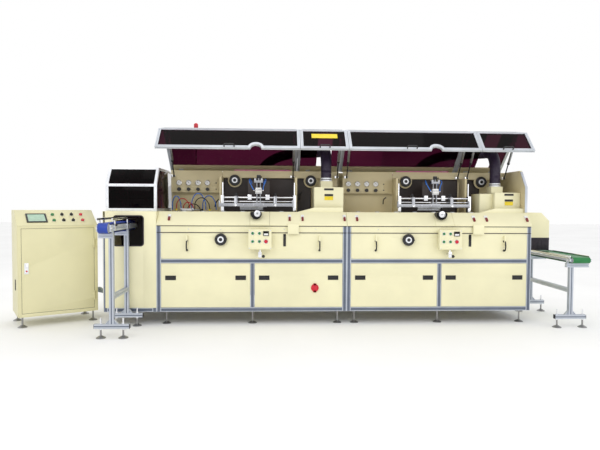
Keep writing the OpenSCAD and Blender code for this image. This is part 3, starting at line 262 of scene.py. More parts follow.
# %% [markdown]
# ## Tinted acrylic
# The hoods' panes are cast acrylic in a deep wine red. Light that crosses one pane keeps a few
# hundredths of its red and almost nothing else, while a saw-cut edge gathers light and glows
# pink. We use full transmission with a dark colour for the faces, and an opaque pink for the
# thin edges, because the eye reads an edge as a colour and not as something to see through. The
# index of refraction is set lower than real acrylic's, or the pane would mirror the bright room
# and look grey.

# %% Tinted acrylic and its edges
acrylic, acrylic_tree, acrylic_shader = new_material(
    "wine_acrylic", Transmission_Weight=1.0, IOR=1.16, Specular_IOR_Level=0.2)
acrylic_tree.links.new(
    ramp(acrylic_tree, noise(acrylic_tree, 1.7, 2), (0.028, 0.003, 0.011), (0.036, 0.004, 0.014)),
    acrylic_shader.inputs["Base Color"])
acrylic_tree.links.new(
    spread(acrylic_tree, noise(acrylic_tree, 14, 3), 0.02, 0.07), acrylic_shader.inputs["Roughness"])
pink_edge_glow = moulded("acrylic_edge_glow", (0.62, 0.14, 0.30), (0.2, 0.35))
print("materials:", len(bpy.data.materials))

# %% [markdown]
# ## Tools of the workshop
# Most pieces start as a box or a rod at its size and place and are then cut, inset, extruded and
# bevelled. These short functions wrap Blender's own operators. An operator acts on whatever is
# selected, and loading the CAD model leaves it all selected, so each one starts by clearing that.

# %% Starting shapes
def clear():
    bpy.ops.object.select_all(action="DESELECT")


def settle(name):
    """Writes the active object's place and size into its mesh, and names it."""
    piece = bpy.context.object
    bpy.ops.object.transform_apply(location=True, rotation=True, scale=True)
    piece.name = piece.data.name = name
    return piece


def start_box(name, low, high):
    clear()
    a, b = at(*low), at(*high)
    bpy.ops.mesh.primitive_cube_add(size=1, location=(a + b) / 2, scale=b - a)
    return settle(name)


def start_rod(name, start, end, radius, sides=32, end_radius=None):
    clear()
    a, b = at(*start), at(*end)
    turn = (b - a).to_track_quat("Z", "Y").to_euler()
    shape = dict(vertices=sides, depth=(b - a).length, location=(a + b) / 2, rotation=turn)
    if end_radius is None:
        bpy.ops.mesh.primitive_cylinder_add(radius=radius * MM, **shape)
    else:
        bpy.ops.mesh.primitive_cone_add(radius1=radius * MM, radius2=end_radius * MM, **shape)
    return settle(name)


# %% Choosing faces and shaping them
def activate(piece):
    clear()
    piece.select_set(True)
    bpy.context.view_layer.objects.active = piece


def pick_faces(piece, test):
    """Selects the faces for which test(centre, normal) holds, and enters edit mode."""
    activate(piece)
    mesh = piece.data
    for group in (mesh.vertices, mesh.edges):
        group.foreach_set("select", [False] * len(group))
    chosen = [test((f.center - ZERO) / MM, f.normal) for f in mesh.polygons]
    mesh.polygons.foreach_set("select", chosen)
    bpy.ops.object.mode_set(mode="EDIT")
    bpy.ops.mesh.select_mode(type="FACE")
    return sum(chosen)


def leave_edit():
    bpy.ops.object.mode_set(mode="OBJECT")


def recess(piece, test, border, depth, lip=0.4):
    """Insets each chosen face by border and pushes the inner face in by depth, in mm."""
    if pick_faces(piece, test):
        bpy.ops.mesh.inset(thickness=border * MM, use_individual=True)
        bpy.ops.mesh.inset(thickness=lip * MM, depth=-depth * MM, use_individual=True)
    leave_edit()
    return piece


def soften(piece, width=1.5, segments=2, angle=35):
    """Rounds the sharp edges, as a deburred or folded edge is."""
    activate(piece)
    modifier = piece.modifiers.new("edges", "BEVEL")
    modifier.width = width * MM
    modifier.segments = segments
    modifier.limit_method = "ANGLE"
    modifier.angle_limit = math.radians(angle)
    bpy.ops.object.modifier_apply(modifier=modifier.name)
    bpy.ops.object.shade_smooth_by_angle(angle=math.radians(angle))
    return piece


def cut(piece, cutter):
    """Takes the cutter's shape out of the piece."""
    activate(piece)
    modifier = piece.modifiers.new("cut", "BOOLEAN")
    modifier.operation = "DIFFERENCE"
    modifier.solver = "EXACT"
    modifier.object = cutter
    bpy.ops.object.modifier_apply(modifier=modifier.name)
    bpy.data.objects.remove(cutter)
    return piece


# %% Copying, joining and fitting
def twin(piece, move=(0, 0, 0)):
    """A copy with its own mesh, moved by some mm."""
    copy = piece.copy()
    copy.data = piece.data.copy()
    bpy.context.collection.objects.link(copy)
    copy.data.transform(Matrix.Translation(Vector(move) * MM))
    return copy


def join(name, parts):
    activate(parts[0])
    for part in parts:
        part.select_set(True)
    if len(parts) > 1:
        bpy.ops.object.join()
    piece = bpy.context.object
    piece.name = piece.data.name = name
    return piece


def painted(piece, material):
    piece.data.materials.clear()
    piece.data.materials.append(material)
    return piece


def fit(name, parts, body, material=None, stands_for=()):
    """Joins parts into one piece that rides on a body."""
    piece = join(name, parts)
    if material:
        painted(piece, material)
    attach(piece, body)
    if stands_for:
        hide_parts(*stands_for)
    return piece


def dressed(node, material, body="machine", width=1.2):
    """A CAD node's shape with its doubles merged, its flats joined and its edges rounded."""
    source = frame["nodes"][node]
    piece = source.copy()
    piece.data = source.data.copy()
    bpy.context.collection.objects.link(piece)
    piece.parent = None
    piece.matrix_world = Matrix.Identity(4)
    activate(piece)
    bpy.ops.object.mode_set(mode="EDIT")
    bpy.ops.mesh.select_all(action="SELECT")
    bpy.ops.mesh.remove_doubles(threshold=0.00002)
    bpy.ops.mesh.dissolve_limited(angle_limit=math.radians(0.5))
    leave_edit()
    soften(piece, width)
    return fit(node + "_shell", [piece], body, material, [node])


def finish_node(node, material):
    """A CAD node whose shape is right keeps it and only gets a finish."""
    shown = frame["nodes"][node]
    shown.data.materials.clear()
    shown.data.materials.append(material)


# %% [markdown]
# ## Slotted aluminium bars
# The frame is bolted from square extrusions with a slot down each side. A plain cube with a dark
# stripe would look right only from afar. We make one short bar from a grid: its cells become the
# section, the four slot cells are deleted, and the rest is extruded. Each bar of the machine is a
# copy of it with its far end pulled to length, so the section never stretches.

# %% One master bar for each section
def master_bar(side, slot_width, slot_depth):
    clear()
    bpy.ops.mesh.primitive_grid_add(x_subdivisions=5, y_subdivisions=5, size=1)
    piece = bpy.context.object
    mesh = piece.data
    half = side / 2
    stops = [-half, slot_depth - half, -slot_width / 2, slot_width / 2, half - slot_depth, half]
    places = sorted({round(v.co.x, 4) for v in mesh.vertices})
    for vertex in mesh.vertices:
        column = places.index(round(vertex.co.x, 4))
        row = places.index(round(vertex.co.y, 4))
        vertex.co = Vector((stops[column], stops[row], 0)) * MM
    activate(piece)
    inner = (half - slot_depth) * MM
    opening = slot_width / 2 * MM
    slots = [min(abs(f.center.x), abs(f.center.y)) < opening
             and max(abs(f.center.x), abs(f.center.y)) > inner for f in mesh.polygons]
    for group in (mesh.vertices, mesh.edges):
        group.foreach_set("select", [False] * len(group))
    mesh.polygons.foreach_set("select", slots)
    bpy.ops.object.mode_set(mode="EDIT")
    bpy.ops.mesh.select_mode(type="FACE")
    bpy.ops.mesh.delete(type="FACE")
    bpy.ops.mesh.select_all(action="SELECT")
    bpy.ops.mesh.extrude_region_move(TRANSFORM_OT_translate={"value": (0, 0, 1)})
    bpy.ops.mesh.select_all(action="SELECT")
    bpy.ops.mesh.dissolve_limited(angle_limit=math.radians(1))
    bpy.ops.mesh.normals_make_consistent(inside=False)
    leave_edit()
    soften(piece, 0.9, 1)
    piece.name = f"master_{side}"
    return piece


frame_master = master_bar(PROFILE, 9, 7)
hood_master = master_bar(28, 6, 5)
print("faces in a bar:", len(frame_master.data.polygons))


# %% Placing a bar between two points
def bar(master, start, end, across=(1, 0, 0)):
    """A copy of the master along its centre line; across is where its section's side looks."""
    a, b = at(*start), at(*end)
    piece = twin(master)
    reach = (b - a).length - 1
    for vertex in piece.data.vertices:
        if vertex.co.z > 0.5:
            vertex.co.z += reach
    along = (b - a).normalized()
    side = Vector(across)
    side = (side - side.dot(along) * along).normalized()
    third = along.cross(side)
    turn = Matrix((side, third, along)).transposed().to_4x4()
    piece.data.transform(Matrix.Translation(a) @ turn)
    return piece


def frame_bars(left, right, front_middle):
    """One module: four posts, rails along it and across it, and its middle posts."""
    half = PROFILE / 2
    depth = measured("machine_frame")[1].y
    low, mid, top = FRAME_BASE + half, MID_RAIL, FRAME_TOP - half
    bars = []
    for x in (left + half, right - half):
        for y in (half, depth - half):
            bars.append(bar(frame_master, (x, y, FRAME_BASE), (x, y, FRAME_TOP)))
        for z in (low, top):
            bars.append(bar(frame_master, (x, PROFILE, z), (x, depth - PROFILE, z)))
    for y in (half, depth - half):
        for z in (low, mid, top):
            if front_middle or y > half or z != top:
                bars.append(bar(frame_master, (left + PROFILE, y, z), (right - PROFILE, y, z),
                                (0, 1, 0)))
    if front_middle:
        x = (left + right) / 2
        bars.append(bar(frame_master, (x, half, low + half), (x, half, mid - half)))
    return bars


FRAME_BASE = 125
FRAME_TOP = 970
MID_RAIL = 622
LOADER_LEFT = measured("machine_frame")[0].x
bars = frame_bars(-MODULE, 0, True) + frame_bars(0, MODULE, True)
bars += frame_bars(LOADER_LEFT, -MODULE, False)
fit("frame_profiles", bars, "machine", anodised, ["machine_frame"])
print("frame bars:", len(bars))

# %% [markdown]
# Grey cover strips are pushed into the slots of the front bars, which keeps ink out of them. They
# stand about a millimetre proud of the bar, so each is a thin strip with its own rounded edges.

# %% Cover strips in the front slots
def slot_strip(low, high):
    return soften(start_box("strip", low, high), 0.6, 1)


strips = []
strip_half = 13
for left, right in ((-MODULE, 0), (0, MODULE), (LOADER_LEFT, -MODULE)):
    for x in (left + PROFILE / 2, right - PROFILE / 2):
        strips.append(slot_strip((x - strip_half, -1.2, FRAME_BASE + 3),
                                 (x + strip_half, 1, FRAME_TOP - 3)))
    for z in (FRAME_BASE + PROFILE / 2, MID_RAIL):
        if left > LOADER_LEFT + 1 or z < MID_RAIL:
            strips.append(slot_strip((left + PROFILE + 4, -1.2, z - strip_half),
                                     (right - PROFILE - 4, 1, z + strip_half)))
    if left > LOADER_LEFT + 1:
        x = (left + right) / 2
        strips.append(slot_strip((x - strip_half, -1.2, FRAME_BASE + PROFILE + 3),
                                 (x + strip_half, 1, MID_RAIL - PROFILE / 2 - 3)))
fit("slot_covers", strips, "machine", slot_grey)
print("cover strips:", len(strips))

# %% [markdown]
# ## Sheet metal covers
# The covers are folded from sheet and powder coated, so their edges are round and catch a thin
# line of light. The CAD shapes are right but knife sharp. For each one we copy the CAD mesh,
# merge its loose triangles into whole faces and bevel the edges; the copy then stands for the
# node. Modelling them again by hand would only risk a different size.

# %% Cream covers, and tan ones partly painted shade
for node, material, slot, width in (
        ("front_covers", cream, "cream_paint", 0.8),
        ("outer_panels", cream, "cream_paint", 0.8),
        ("desk", cream, "cream_paint", 2.0),
        ("machine_bed", tan_and_shade, "tan_paint", 0.8),
        ("upper_fascia", tan_and_shade, "tan_paint", 0.8),
        ("loader_cabinet", cream, "cream_paint", 0.8),
        ("outlet_hood", cream, "cream_paint", 0.7),
        ("box_brackets", chrome, "chrome_steel", 0.8),
        ("hinge_rail", tan_and_shade, "aluminium_profile", 0.8),
        ("transfer_chain", ground, "steel", 0.8)):
    dressed(node, material, width=width)
# the feet's darker chrome is painted shade
finish_node("levelling_feet", shaded_chrome)
print("dressed covers done")

# %% [markdown]
# The four lift-off panels each have two pulls: a black moulded cup let into the sheet. A cup is
# a box whose front face is inset and pushed in, twice, so it gets a flange and a sloping well.

# %% Panel pulls
PULL_SIZE = (104, 44)


def pull_cup(x, z):
    half_w, half_h = PULL_SIZE[0] / 2, PULL_SIZE[1] / 2
    cup = start_box("cup", (x - half_w, -1.5, z - half_h), (x + half_w, 13, z + half_h))
    recess(cup, lambda c, n: n.y < -0.9, 4, 2)
    recess(cup, lambda c, n: n.y < -0.9 and c.y > 0, 3, 8, 3)
    return soften(cup, 1.5)


for i in range(1, 5):
    low, high = measured(f"access_panel_{i}")
    dressed(f"access_panel_{i}", cream, f"panel_{i}", width=1.5)
    cups = [pull_cup(x, 458) for x in (low.x + 92, high.x - 92)]
    fit(f"panel_pulls_{i}", cups, f"panel_{i}", black_plastic)

# %% [markdown]
# One panel also has a round red cap over a service hole, and the covers above it carry black
# bow handles and short slotted levers.

# %% Red cap on the second panel
cap = start_rod("cap", (-316, 1, 358), (-316, -7, 358), 38, 48)
recess(cap, lambda c, n: n.y < -0.9, 5, 2.5)
recess(cap, lambda c, n: n.y < -0.9 and abs(c.x + 316) < 10, 12, -3)
fit("service_cap", [soften(cap, 1.2)], "panel_2", red_plastic)


# %% Tubes along a smooth route
def tube(name, route, radius, smooth=True, sides=3, cyclic=False):
    """A round tube through the route's points, made a mesh."""
    curve = bpy.data.curves.new(name, "CURVE")
    curve.dimensions = "3D"
    curve.bevel_depth = radius * MM
    curve.bevel_resolution = sides
    curve.use_fill_caps = True
    spline = curve.splines.new("BEZIER" if smooth else "POLY")
    points = spline.bezier_points if smooth else spline.points
    points.add(len(route) - 1)
    for point, place in zip(points, route):
        point.co = at(*place) if smooth else (*at(*place), 1)
        if smooth:
            point.handle_left_type = point.handle_right_type = "AUTO"
    spline.use_cyclic_u = cyclic
    piece = bpy.data.objects.new(name, curve)
    bpy.context.collection.objects.link(piece)
    activate(piece)
    bpy.ops.object.convert(target="MESH")
    piece = bpy.context.object
    bpy.ops.object.shade_smooth_by_angle(angle=math.radians(40))
    return piece


def bow_handle(x, y, z, height, reach, radius, out=(0, -1, 0), along=(0, 0, 1)):
    """A bow handle: two legs that curve into a straight grip."""
    base, out, along = Vector((x, y, z)), Vector(out) * reach, Vector(along) * height / 2
    bend = along.normalized() * min(14, height / 5)
    route = [base - along, base - along + out * 0.7, base - along + out + bend,
             base + along + out - bend, base + along + out * 0.7, base + along]
    return tube("bow", route, radius)


# %% Handles and levers on the front covers
grips = []
for x in (-1566, -272, 287, 1582):
    grips.append(bow_handle(x, 1, 775, 92, 36, 6.5))
    for z in (729, 821):
        foot = start_rod("foot", (x, 1, z), (x, -5, z), 11, 24)
        grips.append(soften(foot, 1.2))
fit("cover_grips", grips, "machine", black_plastic)


def slotted_lever(x, z0, z1):
    """A black lever in its slot plate, with round ends."""
    plate = start_box("plate", (x - 13, -4, z0), (x + 13, 1, z1))
    recess(plate, lambda c, n: n.y < -0.9, 4, 2.5)
    soften(plate, 5, 3)
    arm = start_box("arm", (x - 5, -24, z1 - 46), (x + 5, -2, z1 - 18))
    return [plate, soften(arm, 3, 3)]


fit("slot_levers", slotted_lever(-616, 768, 889) + slotted_lever(1235, 768, 889),
    "machine", black_plastic)


# %% Screws, modelled once and copied
def cap_screw(radius):
    """A socket screw head that looks along -Y, at the drawing's zero."""
    screw = start_rod("screw", (0, 0, 0), (0, -radius * 0.8, 0), radius, 20)
    socket = start_rod("socket", (0, -radius * 0.3, 0), (0, -radius * 2, 0), radius * 0.5, 6)
    return soften(cut(screw, socket), radius * 0.12, 1)


small_screw = cap_screw(5)
places = []
for left in (-MODULE, 0):
    for x in (left + 52, left + MODULE - 52):
        places += [(x, 1, z) for z in (655, 886)]
    places += [(left + MODULE * k / 6, -2, 935) for k in (1, 2, 4, 5)]
cover_screws = [twin(small_screw, p) for p in places]
fit("cover_screws", cover_screws, "machine", chrome)
print("cover screws:", len(cover_screws))

# %% [markdown]
# ## The hoods
# Four hoods are hinged behind the machine and held up by gas struts. Each is a frame of slotted
# bars with acrylic set in its grooves. It is far easier to draw a hood shut, where its bars are
# level and upright, so we build it shut and turn the finished mesh about its hinge by the angle
# the CAD joint gives. The front edge of the long hoods arches over the printing head.

# %% Section of a shut hood
BAR = 28
HALF = BAR / 2
HOOD_FACE = 64
HOOD_FOOT = 1112
HOOD_BEND = Vector((0, HOOD_FACE, 1386))
HOOD_SHOULDER = Vector((0, 206, 1574))
HINGE_Y, HINGE_Z = 800, 1540
HOOD_REAR = 792
ROOF_MID = HOOD_SHOULDER.z - HALF
LEAN = (HOOD_SHOULDER - HOOD_BEND).normalized()
INWARD = Vector((0, LEAN.z, -LEAN.y))
NOTCH_RADIUS = 52
NOTCHES = {1: -899, 3: 884}
HANDLES = {1: -1157, 2: -226, 3: 634, 4: 1596}
DUCT_SLOTS = {2: -175, 4: 1632}
SLOT_HALF = 78
STRUTS = {1: (-1786, -517), 2: (-39,), 3: (65, 1286), 4: (1390, 1804)}

joints = {joint["name"]: joint for joint in frame["joints"]}
OPEN_ANGLE = math.radians(max(joints["hood_1_hinge"]["range_deg"]))
hinge = at(0, HINGE_Y, HINGE_Z)
LIFT = (Matrix.Translation(hinge) @ Matrix.Rotation(-OPEN_ANGLE, 4, "X")
        @ Matrix.Translation(-hinge))
print("hoods stand open by", round(math.degrees(OPEN_ANGLE)), "degrees")


def lifted(piece):
    """Turns a piece drawn on the shut hood to where the open hood holds it."""
    piece.data.transform(LIFT)
    return piece


# %% The bars of one hood
def hood_bars(i, x0, x1):
    bars = []
    for x in (x0 + HALF, x1 - HALF):
        front = (x, HOOD_FACE + HALF, HOOD_FOOT)
        bars.append(bar(hood_master, front, (x, HOOD_FACE + HALF, HOOD_BEND.z - 6)))
        lean_from = Vector((x, 0, 0)) + HOOD_BEND + INWARD * HALF
        lean_to = Vector((x, 0, 0)) + HOOD_SHOULDER + INWARD * HALF
        bars.append(bar(hood_master, lean_from, lean_to - LEAN * 4))
        bars.append(bar(hood_master, (x, HOOD_SHOULDER.y + 6, ROOF_MID), (x, HOOD_REAR, ROOF_MID)))
    a, b = x0 + BAR, x1 - BAR
    for corner, step in ((HOOD_BEND, HALF), (HOOD_SHOULDER, -HALF - 2)):
        centre = corner + LEAN * step + INWARD * HALF
        bars.append(bar(hood_master, (a, centre.y, centre.z), (b, centre.y, centre.z), LEAN))
    y, z = HOOD_FACE + HALF, HOOD_FOOT + HALF
    edges = [(a, b)]
    if i in NOTCHES:
        reach = NOTCH_RADIUS + BAR - 3
        edges = [(a, NOTCHES[i] - reach), (NOTCHES[i] + reach, b)]
    for start, end in edges:
        bars.append(bar(hood_master, (start, y, z), (end, y, z), (0, 1, 0)))
    return bars


def hood_leaf(x0, x1):
    """The folded sheet behind the roof pane that carries the knuckles."""
    leaf = start_box("leaf", (x0 + BAR, HOOD_REAR - 80, ROOF_MID - HALF),
                     (x1 - BAR, HOOD_REAR, ROOF_MID))
    recess(leaf, lambda c, n: n.z > 0.9, 8, 2)
    return soften(leaf, 1)


# %% [markdown]
# The arch is the same bar bent round the head. Spin does this directly: one square face is swept
# half a turn about the arch's centre.

# %% The arch round the printing head
def notch_arch(x):
    clear()
    radius = NOTCH_RADIUS + HALF
    bpy.ops.mesh.primitive_plane_add(size=BAR * MM,
                                     location=at(x - radius, HOOD_FACE + HALF, HOOD_FOOT))
    arch = settle("arch")
    bpy.ops.object.mode_set(mode="EDIT")
    bpy.ops.mesh.select_all(action="SELECT")
    bpy.ops.mesh.spin(steps=28, angle=-math.pi, center=at(x, HOOD_FACE + HALF, HOOD_FOOT),
                      axis=(0, 1, 0))
    bpy.ops.mesh.select_all(action="SELECT")
    bpy.ops.mesh.remove_doubles(threshold=0.00002)
    bpy.ops.mesh.normals_make_consistent(inside=False)
    leave_edit()
    return soften(arch, 1.5, 2, 50)


# %% The panes of one hood
def pane_box(low, high):
    return soften(start_box("pane", low, high), 0.5, 1)


def leaning_pane(a, b, start, end, skin):
    """A pane between the bend and the shoulder, skin mm below the hood's outer face."""
    foot = HOOD_BEND + LEAN * start + INWARD * skin
    piece = start_box("pane", (a, 0, 0), (b, end - start, 5))
    angle = math.atan2(LEAN.z, LEAN.y)
    turn = (Matrix.Translation(at(0, foot.y, foot.z)) @ Matrix.Rotation(angle, 4, "X")
            @ Matrix.Translation(-at(0, 0, 5)))
    piece.data.transform(turn)
    return soften(piece, 0.5, 1)


def hood_panes(i, x0, x1):
    a, b = x0 + BAR - 5, x1 - BAR + 5
    front = pane_box((a, HOOD_FACE + 9, HOOD_FOOT + BAR - 5), (b, HOOD_FACE + 14, HOOD_BEND.z - 12))
    if i in NOTCHES:
        x = NOTCHES[i]
        cutter = start_rod("cutter", (x, HOOD_FACE - 20, HOOD_FOOT),
                           (x, HOOD_FACE + 60, HOOD_FOOT), NOTCH_RADIUS + BAR - 6, 48)
        cut(front, cutter)
    length = (HOOD_SHOULDER - HOOD_BEND).length
    lean = leaning_pane(a, b, BAR - 5, length - BAR + 3, 9)
    spans = [(a, b)]
    if i in DUCT_SLOTS:
        x = DUCT_SLOTS[i]
        spans = [(a, x - SLOT_HALF), (x + SLOT_HALF, b)]
    roof = [pane_box((s, HOOD_SHOULDER.y + 15, ROOF_MID - 5), (e, HOOD_REAR - 76, ROOF_MID))
            for s, e in spans]
    return [front, lean] + roof


def two_toned(panes):
    """Gives the thin edge faces the pink of gathered light."""
    panes.data.materials.append(pink_edge_glow)
    for face in panes.data.polygons:
        sides = [(panes.data.vertices[a].co - panes.data.vertices[b].co).length
                 for a, b in face.edge_keys]
        if min(sides) < 0.0052 and face.area < 0.012:
            face.material_index = 1


# %% Handles, knuckles and strut studs
def hood_handle(x):
    base = Vector((x, HOOD_FACE, HOOD_FOOT + 10))
    route = [base + Vector(p) for p in (
        (-48, 2, 0), (-48, -24, 0), (-38, -33, 0), (38, -33, 0), (48, -24, 0), (48, 2, 0))]
    return tube("handle", route, 6.5, False)


def knuckle(x):
    barrel = start_rod("knuckle", (x - 25, HINGE_Y, HINGE_Z), (x + 25, HINGE_Y, HINGE_Z), 10, 28)
    recess(barrel, lambda c, n: abs(n.x) > 0.9, 4, 1)
    tongue = start_box("tongue", (x - 25, HOOD_REAR - 30, HINGE_Z - 3),
                       (x + 25, HINGE_Y - 2, ROOF_MID - HALF + 2))
    return [soften(barrel, 0.8), soften(tongue, 0.8)]


def strut_stud(x, x0, x1):
    inner = (x0 + BAR - 1, x - 15) if x < (x0 + x1) / 2 else (x + 15, x1 - BAR + 1)
    stud = start_box("stud", (inner[0], 141, 1457), (inner[1], 159, 1475))
    return soften(stud, 1.5)


for i in range(1, 5):
    low, high = measured(f"hood_{i}")
    x0, x1 = low.x, high.x
    metalwork = hood_bars(i, x0, x1)
    if i in NOTCHES:
        metalwork.append(notch_arch(NOTCHES[i]))
    for x in (x0 + 120, x1 - 120):
        metalwork += knuckle(x)
    metalwork += [strut_stud(x, x0, x1) for x in STRUTS[i]]
    fit(f"hood_frame_{i}", [lifted(p) for p in metalwork], f"hood_{i}",
        hood_bar, [f"hood_{i}"])
    fit(f"hood_leaf_{i}", [lifted(hood_leaf(x0, x1))], f"hood_{i}", tan_and_shade)
    panes = fit(f"hood_panes_{i}", [lifted(p) for p in hood_panes(i, x0, x1)], f"hood_{i}",
                acrylic)
    two_toned(panes)
    fit(f"hood_handle_{i}", [lifted(hood_handle(HANDLES[i]))], f"hood_{i}",
        black_plastic)

# %% A plain plate on the second hood
plate = start_box("plate", (-350, HOOD_FACE + 5, 1270), (-92, HOOD_FACE + 9.2, 1332))
recess(plate, lambda c, n: n.y < -0.9, 5, 0.8)
fit("blank_plate", [lifted(soften(plate, 1))], "hood_2", yellow_label)

# %% [markdown]
# ## Gas struts
# A strut is a black rod that slides in a grey tube, with an eye at each end. The CAD pair moves
# as it should, so we keep it and add the gland that shows at the mouth of the tube.

# %% Struts
def strut_line(i):
    low, high = measured(f"strut_tubes_{i}")
    return Vector((0, 538, 1478)), Vector((0, low.y + 11, high.z - 11))


for i in range(1, 5):
    dressed(f"strut_rods_{i}", black_coat, f"strut_rods_{i}", 0.6)
    dressed(f"strut_tubes_{i}", ground, f"strut_tubes_{i}", 1.5)
    foot, head = strut_line(i)
    direction = (head - foot).normalized()
    tube_foot = (head - foot).length - 331
    glands = []
    for x in STRUTS[i]:
        base = Vector((x, 0, 0)) + foot + direction * tube_foot
        gland = start_rod("gland", base - direction * 5, base + direction * 12, 14.5, 28)
        recess(gland, lambda c, n: n.dot(direction) < -0.9, 3, -3)
        glands.append(soften(gland, 1))
    fit(f"strut_glands_{i}", glands, f"strut_tubes_{i}", black_plastic)
print("struts done")

# %% [markdown]
# ## Exhaust ducts
# A corrugated duct rises from each drying lamp, bends back over the hinge and drops behind the
# machine. Its wire helix shows as even ribs. Real ribs in the mesh keep their outline in every
# view, which a bump texture would not, so one ring of a circle is swept along the route and its
# radius swells and shrinks from ring to ring.

# %% A ribbed hose along a route
def along_route(route, steps):
    """Points on a smooth curve through the route, as the CAD model draws it."""
    points = []
    for i in range(len(route) - 1):
        a, b = route[max(i - 1, 0)], route[i]
        c, d = route[i + 1], route[min(i + 2, len(route) - 1)]
        for k in range(steps):
            t = k / steps
            points.append(0.5 * (2 * b + (c - a) * t + (2 * a - 5 * b + 4 * c - d) * t * t
                                 + (3 * b - a - 3 * c + d) * t * t * t))
    return points + [route[-1]]


def even_points(points, spacing):
    """The same line, walked at even steps."""
    walked, left = [points[0]], spacing
    for a, b in zip(points, points[1:]):
        length, done = (b - a).length, 0
        while length - done > left:
            done += left
            walked.append(a + (b - a) * (done / length))
            left = spacing
        left -= length - done
    return walked + [points[-1]]


def ribbed_hose(name, route, radius, pitch, rib, sides):
    """Two rings to a rib, one wide and one narrow, joined by quads and closed at both ends."""
    line = even_points(along_route([Vector(p) for p in route], 24), pitch / 2)
    verts, faces = [], []
    side = Vector((0.83, 0.11, 0.31))
    for k, centre in enumerate(line):
        tangent = (line[min(k + 1, len(line) - 1)] - line[max(k - 1, 0)]).normalized()
        side = (side - side.dot(tangent) * tangent).normalized()
        other = tangent.cross(side)
        r = radius - (rib if k % 2 else 0)
        for j in range(sides):
            turn = math.tau * j / sides
            verts.append(at(*(centre + r * (math.cos(turn) * side + math.sin(turn) * other))))
    for k in range(len(line) - 1):
        for j in range(sides):
            n = (j + 1) % sides
            faces.append((k * sides + j, k * sides + n, (k + 1) * sides + n, (k + 1) * sides + j))
    faces.append(tuple(reversed(range(sides))))
    faces.append(tuple(range((len(line) - 1) * sides, len(line) * sides)))
    mesh = bpy.data.meshes.new(name)
    mesh.from_pydata(verts, [], faces)
    piece = bpy.data.objects.new(name, mesh)
    bpy.context.collection.objects.link(piece)
    activate(piece)
    bpy.ops.object.shade_smooth_by_angle(angle=math.radians(70))
    return piece


DUCT_Y = 372
DUCT_RADIUS = 57.5
DUCT_DROP = 725
DUCT_FOOT_Y = 936
ducts = []
collars = []
for x, lamp_top in ((-175, 1358), (1632, 1314)):
    top = lamp_top + 66
    route = [(x, DUCT_Y, top), (x, DUCT_Y, top + 90), (x, DUCT_Y + 6, 1620),
             (x, DUCT_Y + 70, 1715), (x, DUCT_Y + 190, 1756), (x - 16, DUCT_Y + 320, 1764),
             (x - 130, DUCT_Y + 430, 1764), (x - 330, 856, 1756), (x - 520, 900, 1710),
             (x - 660, DUCT_FOOT_Y - 6, 1610), (x - 720, DUCT_FOOT_Y, 1460),
             (x - DUCT_DROP, DUCT_FOOT_Y, 1200), (x - DUCT_DROP, DUCT_FOOT_Y, 973)]
    ducts.append(ribbed_hose("duct", route, DUCT_RADIUS, 15, 5, 32))
    for z, radius in ((top, 61), (top + 22, 60)):
        ring = start_rod("ring", (x, DUCT_Y, z), (x, DUCT_Y, z + 14), radius, 48)
        collars.append(soften(ring, 1.5))
    foot = start_rod("foot", (x - DUCT_DROP, DUCT_FOOT_Y, 973), (x - DUCT_DROP, DUCT_FOOT_Y, 1003),
                     61, 48)
    collars.append(soften(foot, 1.5))
fit("ribbed_ducts", ducts, "machine", duct_skin, ["exhaust_ducts"])
fit("duct_clamps", collars, "machine", white_metal)

# %% [markdown]
# ## Drying lamps
# Each lamp is a plain cream box with a narrower neck for its duct. The front carries a long slot
# with round ends, a dark window under it and a plain yellow plate.

# %% Lamp housings
def lamp_front(x, z):
    """The slot, the window and the plate on one lamp's front."""
    face = 199
    slot = start_box("slot", (x - 48, face - 3, z + 16), (x + 48, face + 1, z + 36))
    recess(slot, lambda c, n: n.y < -0.9, 3, 2)
    window = start_box("window", (x - 44, face - 2, z - 44), (x + 44, face + 1, z - 22))
    recess(window, lambda c, n: n.y < -0.9, 2, 1)
    plate = start_box("plate", (x - 44, face - 2, z - 84), (x + 44, face + 1, z - 46))
    recess(plate, lambda c, n: n.y < -0.9, 2, 0.5)
    return soften(slot, 9, 5), soften(window, 1), soften(plate, 1.5)


dressed("uv_lamps", cream, width=2.5)
lamp_dark, lamp_plates = [], []
for x, z in ((-163, 1310), (1712, 1266)):
    slot, window, plate = lamp_front(x, z)
    lamp_dark += [slot, window]
    lamp_plates.append(plate)
fit("lamp_slots", lamp_dark, "machine", black_plastic)
fit("lamp_plates", lamp_plates, "machine", yellow_label)

# %% [markdown]
# ## Handwheels and dials
# A handwheel is turned from one blank: a heavy rim, a thin web and a hub. We revolve its half
# section with Spin and seat a bright ring round its black hub. The CAD wheel has the same rim, so
# the two fit, and the new piece stands for it.

# %% One handwheel, made at its own centre
def turned_shape(name, centre, outline, steps=56):
    """Revolves (radius, forward) points about the Y line through the centre."""
    centre = Vector(centre)
    mesh = bpy.data.meshes.new(name)
    verts = [at(*(centre + Vector((r, -y, 0)))) for r, y in outline]
    mesh.from_pydata(verts, [(k, k + 1) for k in range(len(verts) - 1)], [])
    piece = bpy.data.objects.new(name, mesh)
    bpy.context.collection.objects.link(piece)
    activate(piece)
    bpy.ops.object.mode_set(mode="EDIT")
    bpy.ops.mesh.select_all(action="SELECT")
    bpy.ops.mesh.spin(steps=steps, angle=math.tau, center=at(*centre), axis=(0, 1, 0))
    bpy.ops.mesh.select_all(action="SELECT")
    bpy.ops.mesh.remove_doubles(threshold=0.00003)
    bpy.ops.mesh.normals_make_consistent(inside=False)
    leave_edit()
    bpy.ops.object.shade_smooth_by_angle(angle=math.radians(35))
    return piece


WHEEL_RIM = [(0, 0), (51, 0), (56, 2), (59, 7), (59, 19), (56, 24), (51, 26), (43, 26), (39, 24),
             (37, 18), (27, 17), (24, 19), (23, 30), (0, 30)]


